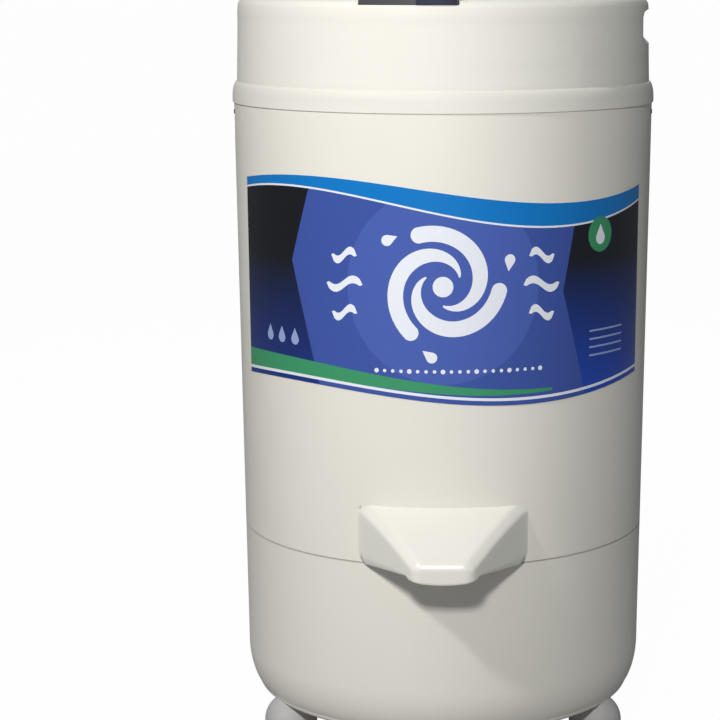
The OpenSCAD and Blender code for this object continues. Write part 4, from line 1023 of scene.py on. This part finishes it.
def wrapped_sheet(name, flat, named, place, inner, outer, inks):
    """Bends the flat drawing round the casing and gives it the thickness of vinyl."""
    used = sorted({i for face, _ in named for i in face})
    front = {old: new for new, old in enumerate(used)}
    count = len(used)
    vertices = [place(*flat[i], outer) for i in used] + [place(*flat[i], inner) for i in used]
    faces, paints = [], []
    border = {}
    for face, colour in named:
        loop = [front[i] for i in face]
        faces.append(loop)
        faces.append([count + i for i in reversed(loop)])
        paints += [inks[colour][0], inks["paper"][0]]
        for a, b in zip(loop, loop[1:] + loop[:1]):
            if (b, a) in border:
                del border[(b, a)]
            else:
                border[(a, b)] = colour
    for (a, b), colour in border.items():
        faces.append([b, a, count + a, count + b])
        paints.append(inks[colour][0])
    mesh = bpy.data.meshes.new(name)
    mesh.from_pydata(vertices, [], faces)
    for _, material in sorted(inks.values(), key=lambda t: t[0]):
        mesh.materials.append(material)
    mesh.polygons.foreach_set("material_index", paints)
    mesh.validate()
    piece = bpy.data.objects.new(name, mesh)
    bpy.context.collection.objects.link(piece)
    return piece


FADE_FROM_Z = SHEET_Z0 + 0.015
FADE_TO_Z = SHEET_Z0 + 0.12


def on_casing(s, h, gap):
    """A point of the flat sheet, bent round the cone: s is the length along it at its own height."""
    z = SHEET_Z0 + h * MM
    r = casing_radius(z) + gap
    azimuth = s * MM / r
    return (r * sin(azimuth), AXIS_Y - r * cos(azimuth), z)


def ink(name, rgb, low_rgb=None):
    """Printed vinyl: one colour, or a fade from low_rgb at the sheet's foot, under a satin film."""
    recipe = Recipe("ink_" + name, rgb, 0.28)
    if low_rgb:
        split = recipe.nodes.new("ShaderNodeSeparateXYZ")
        recipe.links.new(recipe.coordinates, split.inputs[0])
        fade = recipe.ranged(split.outputs["Z"], 1.0, 0.0, FADE_FROM_Z, FADE_TO_Z)
        recipe.tint(fade, low_rgb, 1.0)
    print_dots = recipe.ranged(recipe.noise(scale=1800, detail=1), 0, 1, 0.5, 0.7)
    paler = tuple(min(255, c + 22) for c in rgb)
    recipe.tint(print_dots, paler, 0.14)
    recipe.vary_roughness(recipe.noise(scale=14, detail=3), 0.04)
    slight_waves = recipe.noise(scale=30)
    recipe.bump(slight_waves, 0.0003, 0.08)
    return recipe.sockets(Coat_Weight=0.25, Coat_Roughness=0.25).material


INKS = {
    "field": (0, ink("field", (60, 84, 164))),
    "glow": (1, ink("glow", (72, 96, 178))),
    "night": (2, ink("night", (19, 20, 27), (18, 50, 132))),
    "sky": (3, ink("sky", (6, 120, 200))),
    "paper": (4, ink("paper", (236, 240, 250))),
    "leaf": (5, ink("leaf", (58, 150, 104))),
    "mist": (6, ink("mist", (150, 168, 214))),
    "dusk": (7, ink("dusk", (20, 24, 36), (26, 72, 184))),
}
UPRIGHT_CUT = 4.0
GLUE_GAP = 0.00018
INK_GAP = 0.00044
flat_points, flat_faces = flat_triangles(layers, SHEET_HALF, SHEET_H, UPRIGHT_CUT)
sticker = wrapped_sheet("sticker", flat_points, flat_faces, on_casing, GLUE_GAP, INK_GAP, INKS)
for polygon in sticker.data.polygons:
    polygon.use_smooth = False
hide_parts("label")
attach(sticker, "root")
print("sticker:", len(sticker.data.vertices), "vertices,", len(sticker.data.polygons), "faces")

# %% [markdown]
# ## Studio
# The photo is a cut-out on white, lit from the front, a little to the left and above, so the casing is
# brightest left of its middle and falls off at both sides. The floor is a plain matte sheet. Seen by the
# camera it is nearly white by itself, and it keeps a faint share of the shadow.

# %% Floor and world
FLOOR_HALF = 6.0
FLOOR_Z = -0.0003
FLOOR_GREY = 0.30
FLOOR_GLOW = 1.03
GLOW_SHARE = 0.95
SKY_RGB = (0.88, 0.95, 1.0)
SKY_STRENGTH = 0.19
BACKDROP_STRENGTH = 0.985


def paper_floor():
    """Matte grey for every ray but the camera's, which sees mostly its own white."""
    material = bpy.data.materials.new("floor_paper")
    material.use_nodes = True
    nodes, links = material.node_tree.nodes, material.node_tree.links
    paper = nodes["Principled BSDF"]
    paper.inputs["Base Color"].default_value = (FLOOR_GREY, FLOOR_GREY, FLOOR_GREY, 1)
    paper.inputs["Roughness"].default_value = 0.9
    glow = nodes.new("ShaderNodeEmission")
    glow.inputs["Color"].default_value = (1, 1, 1, 1)
    glow.inputs["Strength"].default_value = FLOOR_GLOW
    ray = nodes.new("ShaderNodeLightPath")
    share = nodes.new("ShaderNodeMath")
    share.operation = "MULTIPLY"
    share.inputs[1].default_value = GLOW_SHARE
    blend = nodes.new("ShaderNodeMixShader")
    links.new(ray.outputs["Is Camera Ray"], share.inputs[0])
    links.new(share.outputs[0], blend.inputs["Fac"])
    links.new(paper.outputs[0], blend.inputs[1])
    links.new(glow.outputs[0], blend.inputs[2])
    links.new(blend.outputs[0], nodes["Material Output"].inputs["Surface"])
    return material


def studio_world():
    """A weak cool light from all round, behind a backdrop that looks white."""
    world = bpy.data.worlds.new("studio_world")
    world.use_nodes = True
    nodes, links = world.node_tree.nodes, world.node_tree.links
    sky = nodes["Background"]
    sky.inputs["Color"].default_value = (*SKY_RGB, 1)
    sky.inputs["Strength"].default_value = SKY_STRENGTH
    backdrop = nodes.new("ShaderNodeBackground")
    backdrop.inputs["Color"].default_value = (1, 1, 1, 1)
    backdrop.inputs["Strength"].default_value = BACKDROP_STRENGTH
    ray = nodes.new("ShaderNodeLightPath")
    seen = nodes.new("ShaderNodeMath")
    seen.operation = "MAXIMUM"
    links.new(ray.outputs["Is Camera Ray"], seen.inputs[0])
    links.new(ray.outputs["Is Transmission Ray"], seen.inputs[1])
    blend = nodes.new("ShaderNodeMixShader")
    links.new(seen.outputs[0], blend.inputs["Fac"])
    links.new(sky.outputs[0], blend.inputs[1])
    links.new(backdrop.outputs[0], blend.inputs[2])
    links.new(blend.outputs[0], nodes["World Output"].inputs["Surface"])
    return world


floor_mesh = bpy.data.meshes.new("studio_floor")
floor_mesh.from_pydata([(-FLOOR_HALF, -FLOOR_HALF, 0), (FLOOR_HALF, -FLOOR_HALF, 0),
                        (FLOOR_HALF, FLOOR_HALF, 0), (-FLOOR_HALF, FLOOR_HALF, 0)], [], [(0, 1, 2, 3)])
studio_floor = bpy.data.objects.new("studio_floor", floor_mesh)
studio_floor.location.z = FLOOR_Z
studio_floor.data.materials.append(paper_floor())
bpy.context.collection.objects.link(studio_floor)
bpy.context.scene.world = studio_world()
print("floor:", 2 * FLOOR_HALF, "m wide")

# %% Lamps
def soft_box(name, place, target, size, watts, rgb):
    """A square or oblong lamp at place, turned to target."""
    data = bpy.data.lights.new(name, "AREA")
    data.shape = "RECTANGLE"
    data.size, data.size_y = size
    data.energy = watts
    data.color = rgb
    lamp = bpy.data.objects.new(name, data)
    lamp.location = place
    lamp.rotation_euler = (Vector(target) - Vector(place)).to_track_quat("-Z", "Y").to_euler()
    bpy.context.collection.objects.link(lamp)
    return lamp


soft_box("key_light", (-0.15, -1.60, 1.13), (0, 0, 0.35), (0.16, 0.16), 16, (1.0, 0.99, 0.96))
soft_box("high_left_light", (-1.15, -1.22, 1.85), (0, 0, 0.30), (0.16, 0.16), 19.5, (1.0, 0.985, 0.955))
soft_box("back_light", (0.25, 2.0, 1.5), (0, 0, 0.35), (0.8, 0.8), 16, (0.97, 0.98, 1.0))
